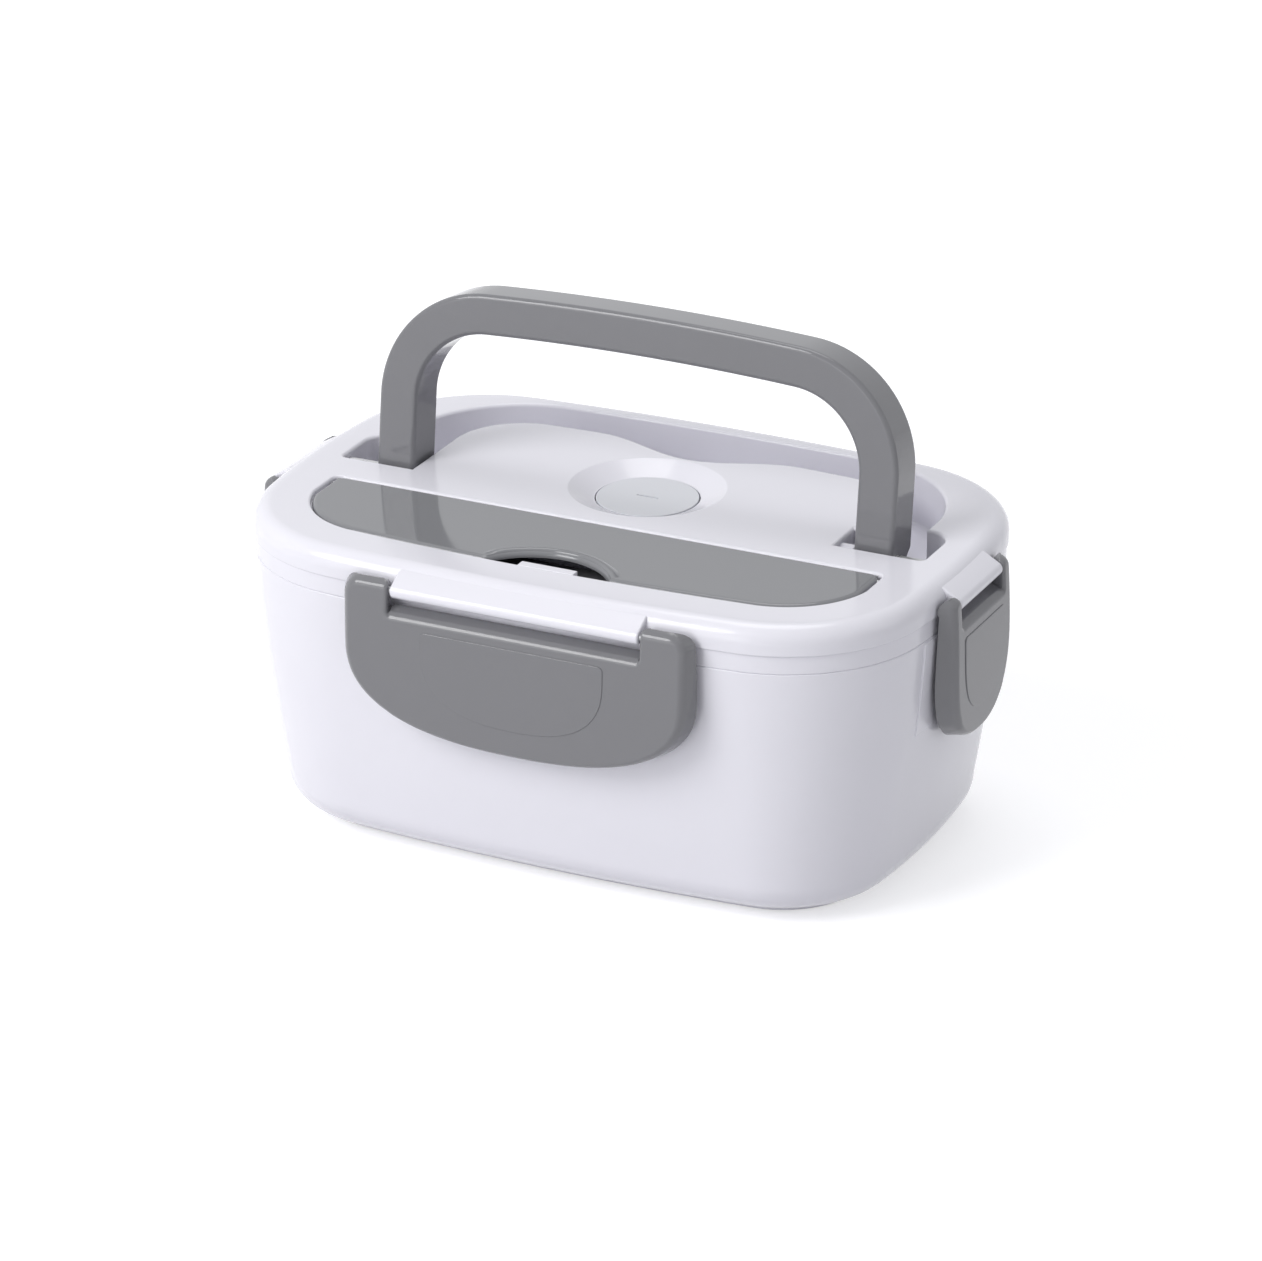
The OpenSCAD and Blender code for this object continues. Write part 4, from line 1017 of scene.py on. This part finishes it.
# the slightly raised field on a latch's face
def drawRelief(half, spec, latch):
    bm = bmesh.new()
    wide, top, corner, edge = spec["wide"], spec["top"], spec["cornerR"], spec["edge"]
    steps = [(half, top - corner), ((half - corner, top - corner), 90, 5), (corner - half, top),
             ((corner - half, top - corner), 90, 5), (-half, wide), ((0, wide), 180, 48)]
    back = drawPlan(bm, (half, wide), steps, z=spec["sink"])
    squareOff(bm.verts, half, wide, spec["low"], spec["power"])
    front = raiseFace(bm, back, -spec["sink"] - spec["rise"] + edge)
    roundOver(bm, front, edge)
    cuts, gap = spec["cuts"]
    sliceAcross(bm, [top - gap * (i + 1) for i in range(cuts)])
    for vert in bm.verts:
        x, z, depth = vert.co
        vert.co = (x, latchFront(latch, z, latch["earR"]) + depth, z)
    return bm


def makeLatch(side, kind, spec):
    bm = drawLatch(kind, spec)
    hollowBack(bm, spec)
    bendLatch(bm, kind, spec)
    stamp(bm, drawRelief(kind["reliefHalf"], reliefSpec, spec))
    stamp(bm, drawBar(kind["hookHalf"], spec["hook"], spec["hookEnds"]))
    moveAll(bm, sidePlace(side))
    finishPiece(bm, side + "Latch", greyPlastic, side + "_latch")


for side, kind in latchKinds.items():
    makeLatch(side, kind, latchSpec)
print("latches made")


# steam vent plug: soft disc with a slit, its stem and foot below; those two are radius, low and top
plugSpec = {"place": (-1.2, 15), "radius": 16.4, "low": 98.02, "top": 100.7, "edge": 0.3, "slit": (3.5, 0.4),
            "slitDepth": 1.1, "stem": (3.2, 89.7, 98.32), "foot": (4.8, 89.7, 91.7), "stemEdge": 0.4}


def makeVentPlug(spec):
    bm = bmesh.new()
    x, y = spec["place"]
    low = drawDisc(bm, spec["radius"], (x, y, spec["low"]), 96)
    top = raiseFace(bm, low, spec["top"] - spec["edge"] - spec["low"])
    roundOver(bm, top, spec["edge"])
    half, thick = spec["slit"]
    slit = drawPlan(bm, (x - half, y - thick), [
        (x + half, y - thick), ((x + half, y), 180, 6), (x - half, y + thick), ((x - half, y), 180, 6)],
        z=top.calc_center_median().z)
    ring = top.edges[:]
    bmesh.ops.delete(bm, geom=[top], context="FACES_ONLY")
    fillAround(bm, ring, [slit])
    sinkFace(bm, slit, spec["slitDepth"])
    for radius, bottom, ceiling in (spec["stem"], spec["foot"]):
        stamp(bm, drawRod(radius, bottom, ceiling, spec["stemEdge"]), [Matrix.Translation((x, y, 0))])
    finishPiece(bm, "ventPlug", siliconeSkin, "vent_plug")


makeVentPlug(plugSpec)
print("vent plug made")


# carrying handle: one rounded section, swept up, round and down
gripSpec = {"half": 89.8, "band": 13.2, "thick": 15.8, "front": 3.2, "top": 64.6, "arch": 4.1, "bend": 37.9,
            "low": 4.5, "toe": 2.7, "heel": 7.6, "lean": 6.5, "pivot": (0, 2, 100), "edge": 1.6,
            "bendSteps": 24, "archSteps": 30}


def makeHandle(spec):
    half, bend, low = spec["half"], spec["bend"], spec["low"]
    archR = (half ** 2 + spec["arch"] ** 2) / (2 * spec["arch"])
    archZ = spec["top"] - archR
    bendX = half - bend
    bendZ = archZ + sqrt((archR - bend) ** 2 - bendX ** 2)
    turn = atan2(bendZ - archZ, bendX)
    bm = bmesh.new()
    middle = Vector((half - spec["band"] / 2, spec["thick"] / 2 - spec["front"], -low))
    shape = Matrix.Translation(middle) @ Matrix.Diagonal((spec["band"], spec["thick"], 1, 1))
    bmesh.ops.create_grid(bm, x_segments=1, y_segments=1, size=0.5, matrix=shape)
    bmesh.ops.bevel(bm, geom=bm.verts[:], offset=spec["edge"], affect="VERTICES", segments=5, profile=0.5,
                    material=-1)
    bmesh.ops.delete(bm, geom=bm.faces[:], context="FACES_ONLY")

    def rise(edges, height):
        grown = bmesh.ops.extrude_edge_only(bm, edges=edges)["geom"]
        bmesh.ops.translate(bm, verts=vertsOf(grown), vec=(0, 0, height))
        return farEdges(grown)

    def sweep(edges, centre, angle, steps):
        ends = {vert for edge in edges for vert in edge.verts}
        return edgesOf(bmesh.ops.spin(bm, geom=list(edges) + list(ends), cent=centre, axis=(0, -1, 0),
                                      angle=angle, steps=steps)["geom_last"])

    first = bm.edges[:]
    ring = rise(first, low + bendZ)
    ring = sweep(ring, (bendX, 0, bendZ), turn, spec["bendSteps"])
    ring = sweep(ring, (0, 0, archZ), pi - 2 * turn, spec["archSteps"])
    ring = sweep(ring, (-bendX, 0, bendZ), turn, spec["bendSteps"])
    ring = rise(ring, -low - bendZ)
    for end in (first, ring):
        bmesh.ops.edgeloop_fill(bm, edges=end)
    cutAndCap(bm, (0, spec["toe"] - spec["front"], -low), (0, -1, -1))
    cutAndCap(bm, (0, spec["thick"] - spec["front"] - spec["heel"], -low), (0, 1, -1))
    moveAll(bm, placed(spec["pivot"], radians(-spec["lean"]), "X"))
    finishPiece(bm, "carryingHandle", greyPlastic, "handle")


makeHandle(gripSpec)
print("handle made")


# studio: pale floor, soft lamps, even world; a lamp is its power, size and place
studio = {"floorSize": 12, "floorColour": (0.72, 0.72, 0.74), "floorRough": 0.9,
          "floorLift": 0.54, "world": 0.48, "worldColour": (0.97, 0.98, 1.0),
          "lamps": {"key": (45, 1.6, (-1.35, -2.0, 1.9)), "low": (9, 1.6, (-0.7, -2.2, 0.4)),
                    "fill": (1.8, 1.2, (2.6, 0.7, 1.1)), "top": (13, 1.4, (-0.3, 0.6, 2.6))}}


# one where the camera or a shiny surface sees the spot, zero for its light on other things
def seenDirectly(tree):
    path = tree.nodes.new("ShaderNodeLightPath")
    some = mathNode(tree, "MAXIMUM", path.outputs["Is Camera Ray"], path.outputs["Is Glossy Ray"])
    return mathNode(tree, "MAXIMUM", some, path.outputs["Is Transmission Ray"])


def makeFloor(spec):
    bm = bmesh.new()
    bmesh.ops.create_grid(bm, x_segments=1, y_segments=1, size=spec["floorSize"] / 2)
    floor = finishMesh(bm, "studioFloor")
    material, tree, shader = newMaterial("paleFloor")
    glow = mathNode(tree, "MULTIPLY", seenDirectly(tree), spec["floorLift"])
    setInputs(tree, shader, {"Base Color": (*spec["floorColour"], 1), "Roughness": spec["floorRough"],
                             "Specular IOR Level": 0.0, "Emission Color": (1, 1, 1, 1),
                             "Emission Strength": glow})
    floor.data.materials.append(material)


def makeWorld(spec):
    world = bpy.data.worlds.new("studioWorld")
    bpy.context.scene.world = world
    world.use_nodes = True
    tree = world.node_tree
    lift = mathNode(tree, "MULTIPLY", seenDirectly(tree), 1.0 - spec["world"])
    setInputs(tree, tree.nodes["Background"], {"Color": (*spec["worldColour"], 1),
                                               "Strength": mathNode(tree, "ADD", lift, spec["world"])})


def hangLamp(name, power, size, place):
    lamp = bpy.data.lights.new(name, "AREA")
    lamp.energy = power
    lamp.shape = "DISK"
    lamp.size = size
    obj = addObject(name, lamp)
    obj.location = place
    obj.rotation_euler = Vector(place).to_track_quat("Z", "Y").to_euler()


makeFloor(studio)
makeWorld(studio)
for name, lamp in studio["lamps"].items():
    hangLamp(name + "Lamp", *lamp)
bpy.context.scene.view_settings.view_transform = "Standard"
print("studio ready")
